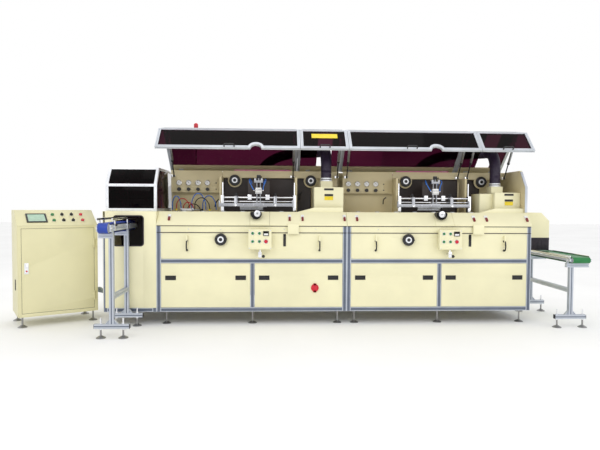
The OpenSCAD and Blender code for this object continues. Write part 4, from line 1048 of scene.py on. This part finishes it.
def handwheel(x, y, z, body, node):
    rim = turned_shape("rim", (x, y, z), WHEEL_RIM)
    shaft = soften(start_rod("shaft", (x, y - 1, z), (x, y + 50, z), 8, 28), 1)
    grip = start_rod("grip", (x + 47, y - 24, z), (x + 47, y - 52, z), 6.5, 24, 8)
    pin = start_rod("pin", (x + 47, y - 20, z), (x + 47, y - 26, z), 4, 16)
    fit(f"{node}_wheel", [rim, soften(grip, 2, 3), soften(pin, 0.8)], body,
        black_plastic, [node])
    ring = turned_shape("ring", (x, y, z), [(17, 24), (17, 30.5), (18, 31.5), (30, 31.5),
                                            (31, 30.5), (31, 17), (29, 17)])
    fit(f"{node}_ring", [ring], body, white_metal)
    fit(f"{node}_shaft", [shaft], body, chrome)


for group, count in (("front_handwheel", 2), ("fascia_handwheel", 4)):
    for i in range(1, count + 1):
        node = f"{group}_{i}"
        low, high = measured(node)
        x = (low.x + high.x) / 2
        z = (low.z + high.z) / 2
        handwheel(x, high.y - 50, z, node, node)

# %% Dials in the desk, knurled by raising each facet
def knurled(name, start, end, radius, teeth, height):
    """A rod whose side facets are inset and raised, one by one."""
    rod = start_rod(name, start, end, radius, teeth)
    along = (Vector(end) - Vector(start)).normalized()
    if pick_faces(rod, lambda c, n: abs(n.dot(along)) < 0.1):
        bpy.ops.mesh.inset(thickness=radius * 0.03 * MM, use_individual=True)
        bpy.ops.mesh.inset(thickness=radius * 0.02 * MM, depth=height * MM, use_individual=True)
    leave_edit()
    return soften(rod, 0.4, 1)


for i, x in ((1, -897), (2, 948)):
    low, high = measured(f"desk_dial_{i}")
    dial_x, dial_z, face = (low.x + high.x) / 2, (low.z + high.z) / 2, low.y
    drum = knurled("drum", (dial_x, face + 1, dial_z), (dial_x, face + 14, dial_z), 32.5, 36, 1.2)
    face_ring = turned_shape("face", (dial_x, face, dial_z),
                             [(0, -1), (9, -1), (10, 0), (26, 0), (29, -1), (31, -3), (31, -12),
                              (0, -12)])
    hub = start_rod("hub", (dial_x, face + 14, dial_z), (dial_x, face + 26, dial_z), 15, 32)
    stem = start_rod("stem", (dial_x, face + 26, dial_z), (dial_x, high.y, dial_z), 6, 24)
    fit(f"dial_{i}", [drum, face_ring, soften(hub, 1), soften(stem, 0.5)], f"desk_dial_{i}",
        chrome, [f"desk_dial_{i}"])
    well = turned_shape("well", (x, 82, 1088), [(54.2, 84), (54.2, 3), (52, 0.5), (0, 0.5)])
    cut(well, start_box("above", (x - 60, -10, DESK_TOP - 0.5), (x + 60, 90, DESK_TOP + 60)))
    fit(f"dial_well_{i}", [well], "machine", black_plastic)
print("wheels and dials done")

# %% [markdown]
# ## Gauge boards
# Each board has four pressure gauges above four regulator knobs. A gauge is a turned chrome
# bezel with a white face and a thin hand; the knobs are black and fluted.

# %% Gauges and knobs
GAUGE_Z, KNOB_Z, BOARD_Y = 1406, 1338, 560


def gauge(x):
    bezel = turned_shape("bezel", (x, BOARD_Y, GAUGE_Z),
                         [(29.4, 0), (29.4, 24), (28.4, 29), (26.4, 30), (24.4, 28),
                          (24.2, 26.6), (0, 26.6)])
    face = turned_shape("face", (x, BOARD_Y, GAUGE_Z), [(0, 27.2), (24, 27.2), (24, 26.4)])
    marks = []
    for k in range(9):
        turn = math.radians(-130 + 260 * k / 8)
        inner = Vector((x + 17 * math.sin(turn), BOARD_Y - 27.8, GAUGE_Z + 17 * math.cos(turn)))
        outer = Vector((x + 21 * math.sin(turn), BOARD_Y - 27.8, GAUGE_Z + 21 * math.cos(turn)))
        marks.append(start_rod("mark", inner, outer, 0.7, 6))
    turn = math.radians(-70 + (x % 37))
    tip = Vector((x + 17 * math.sin(turn), BOARD_Y - 28.6, GAUGE_Z + 17 * math.cos(turn)))
    marks.append(start_rod("hand", (x, BOARD_Y - 28.6, GAUGE_Z), tip, 1.1, 6, 0.4))
    marks.append(soften(start_rod("boss", (x, BOARD_Y - 27, GAUGE_Z), (x, BOARD_Y - 30, GAUGE_Z),
                                  3, 16), 0.5))
    return bezel, face, marks


dressed("gauge_boards", tan_and_shade, width=0.8)
bezels, faces, marks, knobs = [], [], [], []
for x0, first in ((-1822, 88), (24, 60)):
    for k in range(4):
        x = x0 + first + 100 * k
        bezel, face, lines = gauge(x)
        bezels.append(bezel)
        faces.append(face)
        marks += lines
        knobs.append(knurled("knob", (x, BOARD_Y - 8, KNOB_Z), (x, BOARD_Y - 37, KNOB_Z), 18, 20, 1))
        skirt = start_rod("skirt", (x, BOARD_Y, KNOB_Z), (x, BOARD_Y - 9, KNOB_Z), 18.5, 32)
        knobs.append(soften(skirt, 1))
    for z in (1340, 1406):
        dot = start_rod("dot", (x0 + first + 390, BOARD_Y, z),
                        (x0 + first + 390, BOARD_Y - 7, z), 6.5, 24)
        knobs.append(soften(dot, 1.5))
fit("gauge_bezels", bezels, "machine", chrome)
fit("gauge_faces", faces, "machine", white_plastic)
fit("gauge_marks", marks, "machine", black_coat)
fit("regulator_knobs", knobs, "machine", black_plastic)
print("gauges:", len(bezels))

# %% [markdown]
# ## Printing stations
# Each station is a pair of shafts between two end blocks, a screen carriage on bushings and a
# head with the squeegee. The CAD shapes run true on one another, so they stay and are dressed;
# some faces then get their own finish. Choosing faces by where they lie is quicker than cutting
# a piece in two, and the piece keeps riding as one.

# %% A second finish on some faces
def paint_where(piece, material, test):
    """Gives the faces for which test(centre, normal) holds another material."""
    piece.data.materials.append(material)
    index = len(piece.data.materials) - 1
    for face in piece.data.polygons:
        if test((face.center - ZERO) / MM, face.normal):
            face.material_index = index
    return piece


STATIONS = {1: -880, 2: 960}
CLAMP_Z = 1172
STATION_Y, HEAD_Y, UPPER_SHAFT = 320, 290, 1250

shafts = dressed("guide_shafts", chrome, width=1)
paint_where(shafts, knob_cream, lambda c, n: any(
    abs(abs(c.x - x) - 92) < 20.5 and c.y < 43 and 1226 < c.z < 1280
    and (Vector((c.y - STATION_Y, c.z - UPPER_SHAFT)).length > 12.5) for x in STATIONS.values()))
paint_where(shafts, dark_panel, lambda c, n: c.y > 363.9)
for i, x in STATIONS.items():
    carriage = dressed(f"screen_carriage_{i}", ground, f"screen_carriage_{i}", 1)
    paint_where(carriage, black_plastic, lambda c, n: c.z > 1276)
    head = dressed(f"squeegee_head_{i}", ground, f"squeegee_head_{i}", 1)
    paint_where(head, rubber, lambda c, n: c.z < 1151)
    top = knurled("top", (x, HEAD_Y, 1447), (x, HEAD_Y, 1480), 20.4, 24, 1)
    lock = start_rod("lock", (x - 20, HEAD_Y - 10, 1452), (x + 34, HEAD_Y - 22, 1462), 5, 20, 7)
    fit(f"head_knob_{i}", [top, soften(lock, 1)], f"squeegee_head_{i}",
        black_plastic)
    knobs, caps = [], []
    for side in (-232, 172):
        knob_x = x + side
        knobs.append(knurled("knob", (knob_x, STATION_Y, 1268), (knob_x, STATION_Y, 1292), 15, 16, 1.5))
        for z in (1165, 1182):
            caps.append(twin(small_screw, (knob_x, STATION_Y - 76, z)))
        clamp = start_rod("clamp", (knob_x, STATION_Y - 84, CLAMP_Z),
                          (knob_x, STATION_Y - 62, CLAMP_Z), 13, 28)
        recess(clamp, lambda c, n: n.y < -0.9, 3, 3)
        caps.append(soften(clamp, 1))
    for k in range(7):
        caps.append(twin(small_screw, (x - 350 + 100 * k, STATION_Y - 76, 1174)))
    fit(f"carriage_knobs_{i}", knobs, f"screen_carriage_{i}", black_plastic)
    fit(f"carriage_screws_{i}", caps, f"screen_carriage_{i}", chrome)
print("stations dressed")

# %% [markdown]
# A small air cylinder presses the head down. Two blue tubes run from it, so the piece reads as
# something driven by air, and a round white body carries the fittings.

# %% Air cylinder and tubes of each head
white_parts, fittings, blue_parts = [], [], []
for x in STATIONS.values():
    body = start_rod("body", (x - 32, HEAD_Y - 24, 1310), (x + 32, HEAD_Y - 24, 1310), 19, 40)
    recess(body, lambda c, n: abs(n.x) > 0.9, 4, 2)
    white_parts.append(soften(body, 1.5))
    block = start_box("block", (x - 30, HEAD_Y - 30, 1333), (x + 30, HEAD_Y + 20, 1350))
    recess(block, lambda c, n: n.y < -0.9, 3, 1.5)
    white_parts.append(soften(block, 1.5))
    for side, wide in ((-1, 95), (1, 74)):
        foot = (x + side * 42, HEAD_Y - 22, 1316)
        nut = start_rod("nut", foot, (x + side * 48, HEAD_Y - 20, 1326), 7, 6)
        fittings.append(soften(nut, 0.8))
        blue_parts.append(tube("air", [(x + side * 46, HEAD_Y - 20, 1322),
                                       (x + side * (wide - 22), HEAD_Y - 10, 1368),
                                       (x + side * wide, HEAD_Y + 8, 1424),
                                       (x + side * (wide - 8), HEAD_Y + 52, 1440),
                                       (x + side * (wide - 26), HEAD_Y + 80, 1390)], 5))
fit("air_cylinders", white_parts, "machine", white_plastic)
fit("air_fittings", fittings, "machine", chrome)
fit("air_tubes", blue_parts, "machine", blue_tube)

# %% [markdown]
# Behind the stations the back plate is a dark brown sheet, and the drives' air gear sits below the
# first gauge board: a manifold with valves, a cylinder and loops of coloured tube.

# %% Dark back panels
panels = []
for x0, x1 in ((-1266, -503), (-477, -318), (594, 1308), (1334, 1555)):
    sheet = start_box("sheet", (x0, 607, 992), (x1, 618, 1462))
    recess(sheet, lambda c, n: n.y < -0.9, 14, 2)
    panels.append(soften(sheet, 1))
fit("back_panels", panels, "machine", dark_panel)

# %% Air gear under the first gauge board
gear, gear_black, gear_yellow, gear_white = [], [], [], []
manifold = start_box("manifold", (-1785, 452, 1040), (-1335, 486, 1066))
recess(manifold, lambda c, n: n.y < -0.9, 5, 2)
gear.append(soften(manifold, 1.5))
for k, x in enumerate((-1750, -1676, -1590, -1480, -1400)):
    valve = start_box("valve", (x - 15, 446, 1066), (x + 15, 482, 1108))
    recess(valve, lambda c, n: n.y < -0.9, 4, 2)
    gear.append(soften(valve, 1.5))
    knob = knurled("knob", (x, 464, 1108), (x, 464, 1128), 11, 14, 0.8)
    (gear_yellow if k % 2 == 0 else gear_black).append(knob)
    bowl = start_rod("bowl", (x, 464, 1000), (x, 464, 1040), 10, 24, 13)
    gear_white.append(soften(bowl, 2))
ram = start_rod("ram", (-1700, 420, 1118), (-1560, 420, 1118), 15, 36)
recess(ram, lambda c, n: abs(n.x) > 0.9, 4, 2)
gear_white.append(soften(ram, 1.5))
gear.append(soften(start_rod("rod", (-1562, 420, 1118), (-1500, 420, 1118), 5, 20), 1))
for x in (-1690, -1572):
    clamp = start_box("clamp", (x - 8, 402, 1098), (x + 8, 452, 1138))
    gear.append(soften(clamp, 2))
fit("air_gear", gear, "machine", ground)
fit("air_gear_knobs", gear_black, "machine", black_plastic)
fit("air_gear_caps", gear_yellow, "machine", yellow_label)
fit("air_gear_bodies", gear_white, "machine", white_plastic)


def loop(x0, x1, top, y=462, foot=1120):
    """A tube that leaves one valve, rises and comes back down to another."""
    return tube("loop", [(x0, y, foot), (x0 + (x1 - x0) * 0.1, y - 8, foot + (top - foot) * 0.7),
                         ((x0 + x1) / 2, y - 20, top),
                         (x1 - (x1 - x0) * 0.1, y - 8, foot + (top - foot) * 0.6),
                         (x1, y, foot)], 5)


fit("blue_loops", [loop(-1590, -1440, 1292), loop(-1480, -1335, 1268, 500), loop(-1790, -1700, 1262)],
    "machine", blue_tube)
fit("red_loops", [loop(-1750, -1610, 1236), loop(-1676, -1570, 1196)], "machine",
    red_tube)
fit("black_loops", [loop(-1560, -1400, 1245), loop(-1640, -1500, 1180, 500, 1090)], "machine",
    rubber)

# %% Long levers in the bays
levers = [tube("lever", [(-442, 560, 1228), (-440, 545, 1288), (-415, 535, 1322)], 6),
          tube("lever", [(470, 560, 1190), (474, 545, 1240), (498, 535, 1262)], 6),
          tube("lever", [(-1355, 540, 1150), (-1340, 520, 1196), (-1312, 505, 1232)], 6)]
fit("bay_levers", levers, "machine", black_plastic)

# %% [markdown]
# ## Operator boxes
# A box hangs under the desk on a swivel arm. It is one folded sheet, so the CAD shape only needs
# round edges; buttons sit in chrome rings, and a small display has a window.

# %% Boxes, rings and displays
BOX_FRONT = -101
BOX_Z = 842
for i, x in ((1, -855), (2, 1008)):
    dressed(f"operator_box_{i}", cream, f"operator_box_{i}", width=1.5)
    rings = []
    for bx, bz in ((-70, 58), (-5, 58), (-70, -20), (-5, -20), (58, -20)):
        radius = 14.5 if bx < 58 else 20
        rise = 4 if bx < 58 else 2
        rings.append(turned_shape("ring", (x + bx, BOX_FRONT, BOX_Z + bz),
                                  [(radius - 2.2, -2), (radius - 2.2, rise - 1), (radius - 1, rise),
                                   (radius + 2, rise), (radius + 3, rise - 1), (radius + 3, -2)], 40))
    for sx in (-101, 101):
        for sz in (-86, 86):
            rings.append(twin(small_screw, (x + sx, BOX_FRONT, BOX_Z + sz)))
    fit(f"box_rings_{i}", rings, f"operator_box_{i}", chrome)
    bezel = start_box("bezel", (x + 30, BOX_FRONT - 8, 876), (x + 86, BOX_FRONT + 2, 922))
    recess(bezel, lambda c, n: n.y < -0.9, 5, 2)
    fit(f"box_display_{i}", [soften(bezel, 1)], f"operator_box_{i}", black_plastic)
    window = start_box("window", (x + 37, BOX_FRONT - 7.4, 882), (x + 79, BOX_FRONT - 5, 900))
    fit(f"box_window_{i}", [soften(window, 0.5)], f"operator_box_{i}", white_plastic)
    dressed(f"start_buttons_{i}", green_plastic, f"start_buttons_{i}", 1.5)
    dressed(f"stop_button_{i}", red_plastic, f"stop_button_{i}", 2)
balls = []
for x in (-822, 1041):
    ball = turned_shape("ball", (x, -72, 676), [(15.6 * math.sin(a), 15.6 * math.cos(a))
                                                for a in [math.pi * k / 16 for k in range(17)]], 40)
    balls.append(ball)
fit("bracket_balls", balls, "machine", black_plastic)

# %% [markdown]
# ## Catches and strut feet
# The hoods are held shut by catches on the desk's slope. Each is drawn upright at the drawing's
# zero and then laid on the slope with one matrix, which beats guessing turned corners.

# %% Catches on the sloped desk
SLOPE_DEPTH, SLOPE_RISE = 107, 119
SLOPE = math.atan2(SLOPE_DEPTH, SLOPE_RISE)
LIP_Y, LIP_Z = -12, 986
CATCH_Z = 1045


def on_slope(piece, x, z):
    y = LIP_Y + (z - LIP_Z) * SLOPE_DEPTH / SLOPE_RISE
    turn = (Matrix.Translation(at(x, y, z)) @ Matrix.Rotation(-SLOPE, 4, "X")
            @ Matrix.Translation(-at(0, 0, 0)))
    piece.data.transform(turn)
    return piece


plates, arms = [], []
for x in (-1743, -567, -439, -22, 102, 1283, 1411, 1826):
    plate = start_box("plate", (-16, -7, 4), (16, 1, 38))
    recess(plate, lambda c, n: n.y < -0.9, 4, 2)
    plates.append(on_slope(soften(plate, 2), x, CATCH_Z))
    hook = start_rod("hook", (0, -12, 18), (0, 1, 18), 5, 20)
    plates.append(on_slope(soften(hook, 1), x, CATCH_Z))
    arm = start_box("arm", (-10, -14, -38), (10, 1, 5))
    recess(arm, lambda c, n: n.y < -0.9, 3, 2)
    arms.append(on_slope(soften(arm, 3, 3), x, CATCH_Z))
fit("catch_plates", plates, "machine", white_plastic)
fit("catch_arms", arms, "machine", dark_red)

# %% [markdown]
# Where the desk meets the covers, and the covers meet each other, sheets leave shadow gaps. A
# low dark strip of painted shade over each gap draws them without opening the mesh.

# %% Shadow gaps along the front
gaps = []
GAP_TOPS = (969.5, 904.5)
GAP_HEIGHT = 7.5
for x0, x1 in ((-MODULE + 4, -4), (4, MODULE - 4)):
    for top in GAP_TOPS:
        gap = start_box("gap", (x0, -2.8, top - GAP_HEIGHT), (x1, -0.6, top))
        gaps.append(soften(gap, 0.4, 1))
# the strips are painted shade, in the black rubber finish
fit("shadow_gaps", gaps, "machine", rubber)

# %% Feet of the struts, and strips of painted pink glow
feet = []
for spans in STRUTS.values():
    for x in spans:
        foot = start_box("foot", (x - 28, 524, 1464), (x - 14, 559, 1492))
        recess(foot, lambda c, n: n.x < -0.9, 3, 1.5)
        feet.append(soften(foot, 1.5))
        nut = start_rod("nut", (x + 9, 538, 1478), (x + 15, 538, 1478), 8, 6)
        feet.append(soften(nut, 0.8))
fit("strut_feet", feet, "machine", chrome)
rail_low = measured("hinge_rail")[0]
# A painted highlight: strips in the acrylic edges' pink glow along the sill and the hinge rail's face.
glow_strips = []
for x0, x1 in ((-1150, -540), (608, 1190)):
    glow_strips.append(soften(start_box("glow_strip", (x0, 552, 1541), (x1, 566, 1552)), 1))
    glow_strips.append(soften(start_box("strip", (x0, rail_low.y - 2.5, rail_low.z + 4),
                                  (x1, rail_low.y + 1, 1534)), 1))
fit("painted_pink_glow", glow_strips, "machine", pink_edge_glow)
print("stations, boxes and catches done")

# %% [markdown]
# ## Loader
# The loader's guard is a bright aluminium frame with dark panes, screwed together at its corners.
# Below it the belt enters through a window whose black rubber rim hides the cut sheet.

# %% Guard, window rim and dark inside
dressed("loader_guard_frame", white_metal, width=1.5)
dressed("loader_guard_panes", acrylic, width=0.3)
screws = []
for x in (-2357, -1888):
    for z in (1150, 1230, 1350):
        screws.append(twin(small_screw, (x, 89, z)))
fit("guard_screws", screws, "machine", chrome)

corners = []
for cx, cz, start in ((-2011, 1034, 0), (-2242, 1034, 90), (-2242, 798, 180), (-2011, 798, 270)):
    for k in range(7):
        turn = math.radians(start + 15 * k)
        corners.append((cx + 27 * math.cos(turn), -4, cz + 27 * math.sin(turn)))
rim = tube("rim", corners, 6, False, 3, True)
fit("window_rim", [rim], "machine", rubber)
inner = start_box("inner", (-2326, 470, 730), (-1906, 477, 1096))
recess(inner, lambda c, n: n.y < -0.9, 20, 3)
fit("loader_back", [soften(inner, 1)], "machine", dark_panel)

# %% [markdown]
# ## Conveyors
# Both conveyors stand on T-slot posts with cross feet. They are built from the same master bar as
# the frame; only the belt rails, brackets and gussets are shaped on their own.

# %% One stand
FOOT_Z, BRACE_Z = 85, 360


def gusset(x, y, side):
    """A corner bracket: a box whose outer top edge is pulled in to the post."""
    inner, outer = x + side * 20, x + side * 58
    piece = start_box("gusset", (min(inner, outer), y - 14, 125), (max(inner, outer), y + 14, 163))
    top, reach = at(0, 0, 160).z, at(outer, 0, 0).x
    for vertex in piece.data.vertices:
        if vertex.co.z > top and abs(vertex.co.x - reach) < 0.001:
            vertex.co.x -= side * 34 * MM
    recess(piece, lambda c, n: abs(n.y) > 0.9, 4, 10)
    return soften(piece, 1)


def stand(x, posts, arm_top, arm, feet_at):
    bars, extras, stems, slots = [], [], [], []
    for y in posts:
        bars.append(bar(frame_master, (x, y, FOOT_Z + PROFILE), (x, y, arm_top - PROFILE)))
        bars.append(bar(frame_master, (x - 153, y, FOOT_Z + 20), (x + 153, y, FOOT_Z + 20), (0, 1, 0)))
        bars.append(bar(frame_master, (x - arm[0], y, arm_top - 20), (x + arm[1], y, arm_top - 20),
                        (0, 1, 0)))
        slots.append(slot_strip((x - 4.2, y - 19, FOOT_Z + PROFILE + 4),
                                (x + 4.2, y - 14, arm_top - 44)))
        slots.append(slot_strip((x - 148, y - 19, FOOT_Z + 15.8), (x + 148, y - 14, FOOT_Z + 24.2)))
        for side in (-1, 1):
            bars.append(gusset(x, y, side))
            end = x + side * 153
            cap = start_box("cap", (end - 1.5, y - 20, FOOT_Z), (end + 1.5, y + 20, FOOT_Z + 40))
            extras.append(soften(cap, 1))
            foot_x = x + side * feet_at
            stems.append(knurled("stem", (foot_x, y, 124), (foot_x, y, 178), 6.5, 10, 0.4))
            nut = start_rod("nut", (foot_x, y, 125), (foot_x, y, 134), 13, 6)
            stems.append(soften(nut, 1))
            lower = start_rod("nut", (foot_x, y, 74), (foot_x, y, 84), 13, 6)
            stems.append(soften(lower, 1))
    bars.append(bar(frame_master, (x, posts[0] + 20, BRACE_Z), (x, posts[1] - 20, BRACE_Z)))
    return bars, extras, stems, slots


def belt_rails(x, width, nose, back, top, roller, posts, arm_top):
    """The two side rails of a belt, their packers, tie rods and adjusters."""
    parts, shiny = [], []
    low, high = top - roller + 18, top - 20
    a, b = nose + roller / 2, back - roller / 2
    for side in (-1, 1):
        centre = x + side * (width / 2 + 11)
        rail = start_box("rail", (centre - 8, a, low), (centre + 8, b, high))
        recess(rail, lambda c, n: abs(n.x) > 0.9, max(4, (high - low) / 2 - 5), 4)
        parts.append(soften(rail, 1))
        plate = start_box("plate", (centre - 10, a - 6, low - 4), (centre + 10, a + 58, high + 3))
        recess(plate, lambda c, n: abs(n.x) > 0.9, 3, 1)
        parts.append(soften(plate, 1.5))
        for y in (a, a + 38):
            bolt = start_rod("bolt", (centre, y, (low + high) / 2),
                             (centre + side * 13, y, (low + high) / 2), 8, 6)
            shiny.append(soften(bolt, 1))
        for y in posts:
            packer = start_box("packer", (centre - 8, y - 14, arm_top), (centre + 8, y + 14, low))
            parts.append(soften(packer, 1))
    for y in (a + 60, b - 60):
        shiny.append(start_rod("tie", (x - width / 2 - 22, y, top - roller / 2),
                               (x + width / 2 + 22, y, top - roller / 2), 4, 20))
    return parts, shiny


INFEED_X, OUTFEED_X = -2176, 2215
INFEED_WIDTH, OUTFEED_WIDTH = 84, 168
INFEED_POSTS, OUTFEED_POSTS = (-525, -46), (-212, 600)
INFEED_ARM, OUTFEED_ARM = 916, 626
bars, caps, stems, slots = stand(-2133, INFEED_POSTS, INFEED_ARM, (108, 20), 97)
rails, shiny = belt_rails(INFEED_X, INFEED_WIDTH, -640, 330, 1010, 90, INFEED_POSTS, INFEED_ARM)
more, more_caps, more_stems, more_slots = stand(2154, OUTFEED_POSTS, OUTFEED_ARM, (50, 170), 127)
out_rails, out_shiny = belt_rails(OUTFEED_X, OUTFEED_WIDTH, -300, 720, 688, 58, OUTFEED_POSTS,
                                  OUTFEED_ARM)
for side in (-1, 1):
    x = INFEED_X + side * 66.2
    guide = start_box("guide", (x - 5, -580, 1032), (x + 5, 330, 1052))
    recess(guide, lambda c, n: abs(n.x) > 0.9, 6, 2)
    shiny.append(soften(guide, 1.5))
    for y in (-510, -106):
        post = start_box("post", (x - 5, y, 942), (x + 5, y + 24, 1032))
        shiny.append(soften(post, 1.5))
        knob = start_rod("knob", (x + side * 4, y + 12, 990), (x + side * 20, y + 12, 990), 9, 20)
        recess(knob, lambda c, n: abs(n.x) > 0.9, 3, 2)
        caps.append(soften(knob, 1))
    x = OUTFEED_X + side * 97
    lip = start_box("lip", (x - 6, -262, 672), (x + 6, 700, 700))
    recess(lip, lambda c, n: abs(n.x) > 0.9, 8, 2)
    shiny.append(soften(lip, 1.5))
fit("conveyor_bars", bars + more + rails + out_rails, "machine", anodised,
    ["conveyor_frames"])
fit("conveyor_slots", slots + more_slots, "machine", slot_grey)
fit("conveyor_caps", caps + more_caps, "machine", black_plastic)
fit("conveyor_brightwork", shiny + out_shiny + stems + more_stems, "machine", chrome)
for node, material, slot, x, width in (
        ("infeed_belt", blue_belt, "blue_belt", INFEED_X, INFEED_WIDTH),
        ("outfeed_belt", green_belt, "green_belt", OUTFEED_X, OUTFEED_WIDTH)):
    belt = dressed(node, material, width=0.8)
    paint_where(belt, ground, lambda c, n: abs(c.x - x) > width / 2 + 0.4)
print("conveyors done")

# %% [markdown]
# The printed containers leave under a rubber curtain. One sheet would look like a board, so it is
# cut into strips that leave thin dark gaps.

# %% Outlet curtain
hood = bpy.data.objects["outlet_hood_shell"]
paint_where(hood, rubber, lambda c, n: c.y < 466.6 and c.z < 834)
strips = []
for k in range(10):
    x = 1868 + 41.6 * k
    strip = start_box("strip", (x, 460.6, 697), (x + 39.6, 463, 812))
    strips.append(soften(strip, 0.6))
rail = start_box("rail", (1866, 459, 806), (2286, 463, 828))
strips.append(soften(rail, 1))
fit("curtain_strips", strips, "machine", rubber)

# %% [markdown]
# ## Control cabinet
# The cabinet is turned towards the operator, and its console is sloped as well. Its fittings are
# drawn flat at the drawing's zero and carried there by one matrix for the turn and one for the
# slope.

# %% Placing pieces on the cabinet
CABINET_TURN = math.radians(31)
CORNER = (-3112, -144)
CABINET_WIDTH = 720
CONSOLE = math.atan2(145, 260)


def on_cabinet(piece):
    turn = (Matrix.Translation(at(*CORNER, 0)) @ Matrix.Rotation(CABINET_TURN, 4, "Z")
            @ Matrix.Translation(-at(0, 0, 0)))
    piece.data.transform(turn)
    return piece


def on_console(piece):
    slope = (Matrix.Translation(at(0, 0, 965)) @ Matrix.Rotation(CONSOLE, 4, "X")
             @ Matrix.Translation(-at(0, 0, 0)))
    piece.data.transform(slope)
    return on_cabinet(piece)


dressed("control_cabinet", cabinet_cream, width=1.2)
dressed("cabinet_door", cabinet_cream, "cabinet_door", width=2)
dressed("door_latch", chrome, "door_latch", 2)

# %% Screen, lamps, selectors and buttons on the console
black_bits, greens, reds, rings = [], [], [], []
frame_plate = start_box("frame", (90, 54, -1), (272, 216, 10))
recess(frame_plate, lambda c, n: n.z > 0.9, 14, 3, 2)
black_bits.append(on_console(soften(frame_plate, 3, 3)))
glass = start_box("glass", (106, 70, 5), (256, 200, 7.6))
recess(glass, lambda c, n: n.z > 0.9, 6, 0.4)
fit("console_screen", [on_console(soften(glass, 0.6))], "machine", screen_green)
for column in range(4):
    for row in (80, 190):
        u = 330 + 88 * column
        ring = start_rod("ring", (u, row, -1), (u, row, 7), 19, 40)
        recess(ring, lambda c, n: n.z > 0.9, 2.5, 1)
        rings.append(on_console(soften(ring, 1)))
        cap = start_rod("cap", (u, row, 6), (u, row, 19), 15.8, 40)
        recess(cap, lambda c, n: n.z > 0.9, 3, 1.5)
        cap = soften(cap, 1.5)
        if column in (1, 2):
            lever = start_box("lever", (u - 5, row - 15, 16), (u + 5, row + 15, 28))
            black_bits += [on_console(cap), on_console(soften(lever, 2, 3))]
        else:
            (greens if column == 0 else reds).append(on_console(cap))
fit("console_rings", rings, "machine", chrome)
fit("console_green", greens, "machine", green_plastic)
fit("console_red", reds, "machine", red_plastic)
HINGE_HEIGHTS = (260, 785)
vent = start_box("vent", (-4, 150, 340), (1, 196, 442))
recess(vent, lambda c, n: n.x < -0.9, 5, 2)
black_bits.append(on_cabinet(soften(vent, 3, 3)))
for h in HINGE_HEIGHTS:
    pin = start_rod("pin", (685, -7, h - 49), (685, -7, h + 49), 3.2, 16)
    black_bits.append(on_cabinet(soften(pin, 0.5)))
fit("console_black", black_bits, "machine", black_plastic)

# %% Plate and red button of the door latch
plate = start_box("plate", (57, -3, 508), (93, 1.6, 612))
recess(plate, lambda c, n: n.y < -0.9, 3, -1)
fit("latch_plate", [on_cabinet(soften(plate, 2))], "cabinet_door", white_metal)
button = start_rod("button", (75, -15, 536), (75, -9, 536), 8, 28)
recess(button, lambda c, n: n.y < -0.9, 2, 1)
fit("latch_button", [on_cabinet(soften(button, 1))], "door_latch", red_plastic)
seal = []
for u0, u1, z0, z1 in ((30, 690, 131, 135), (30, 690, 936, 940), (30, 34.5, 131, 940),
                       (686, 690, 131, 940)):
    seal.append(on_cabinet(soften(start_box("seal", (u0, 0.6, z0), (u1, 6, z1)), 0.5)))
fit("door_seal", seal, "machine", rubber)

# %% [markdown]
# Ribbed conduits carry the wires from the cabinet to the loader, and a small beacon stands on the
# rear wall.

# %% Conduits and their glands
conduits, glands = [], []
for k in range(3):
    out = Vector((math.cos(CABINET_TURN), math.sin(CABINET_TURN), 0))
    back = Vector((-out.y, out.x, 0))
    start = Vector((*CORNER, 300 - 22 * k)) + out * CABINET_WIDTH + back * (150 + 55 * k)
    finish = Vector((LOADER_LEFT - 3, 470 + 46 * k, 230 + 18 * k))
    along = Vector((30, 0, 0))
    route = [start, start + out * 30, start + out * 60, (start + finish) / 2 - Vector((0, 0, 20)),
             finish - along * 2, finish - along, finish]
    conduits.append(ribbed_hose("conduit", route, 13, 7, 1.6, 24))
    for place, direction in ((start, out), (finish, Vector((-1, 0, 0)))):
        nut = start_rod("nut", place, place + direction * 12, 20, 6)
        ring = start_rod("ring", place + direction * 12, place + direction * 22, 16.5, 28)
        glands += [soften(nut, 1.5), soften(ring, 1.5)]
fit("ribbed_conduits", conduits, "machine", grey_conduit, ["service_conduits"])
fit("conduit_glands", glands, "machine", black_plastic)

# %% [markdown]
# The sheet at the outlet end is cream; its inner face takes the tan as painted shade, and a bright
# strip guards its edge.

# %% Edge of the end sheet
end_sheet = bpy.data.objects["outer_panels_shell"]
# the inner face's tan is painted shade on the cream sheet
paint_where(end_sheet, tan_and_shade, lambda c, n: n.x < -0.9 and abs(c.x - 1835) < 3)
upright = start_box("upright", (1834, 95, 1110), (1859, 102, 1371))
recess(upright, lambda c, n: n.y < -0.9, 5, 1)
lean_a, lean_b = Vector((1846.5, 100.5, 1370)), Vector((1846.5, 217, 1531))
edge_trim = start_box("lean", (-12.5, -3.5, 0), (12.5, 3.5, (lean_b - lean_a).length))
fall = math.atan2(lean_b.y - lean_a.y, lean_b.z - lean_a.z)
edge_trim.data.transform(Matrix.Translation(at(*lean_a)) @ Matrix.Rotation(-fall, 4, "X")
                         @ Matrix.Translation(-at(0, 0, 0)))
fit("end_sheet_trim", [soften(upright, 1), soften(edge_trim, 1)], "machine",
    anodised)

# %% Beacon
beacon = dressed("signal_beacon", red_plastic, width=1.5)
paint_where(beacon, white_plastic, lambda c, n: c.z < 2041)
paint_where(beacon, white_metal, lambda c, n: c.z < 2006)
print("loader, conveyors, cabinet and beacon done")

# %% [markdown]
# ## Floor and the last line
# The floor is a wide pale sheet that isn't part of the object.

# %% Floor
clear()
bpy.ops.mesh.primitive_plane_add(size=60, location=(0, 0, 0))
floor = settle("floor")
floor_finish, floor_tree, floor_shader = new_material("pale_floor", Roughness=0.7)
floor_tree.links.new(ramp(floor_tree, noise(floor_tree, 0.6, 3), (0.9, 0.9, 0.9), (0.94, 0.94, 0.94)),
                     floor_shader.inputs["Base Color"])
painted(floor, floor_finish)
for spare in (frame_master, hood_master, small_screw):
    bpy.data.objects.remove(spare)
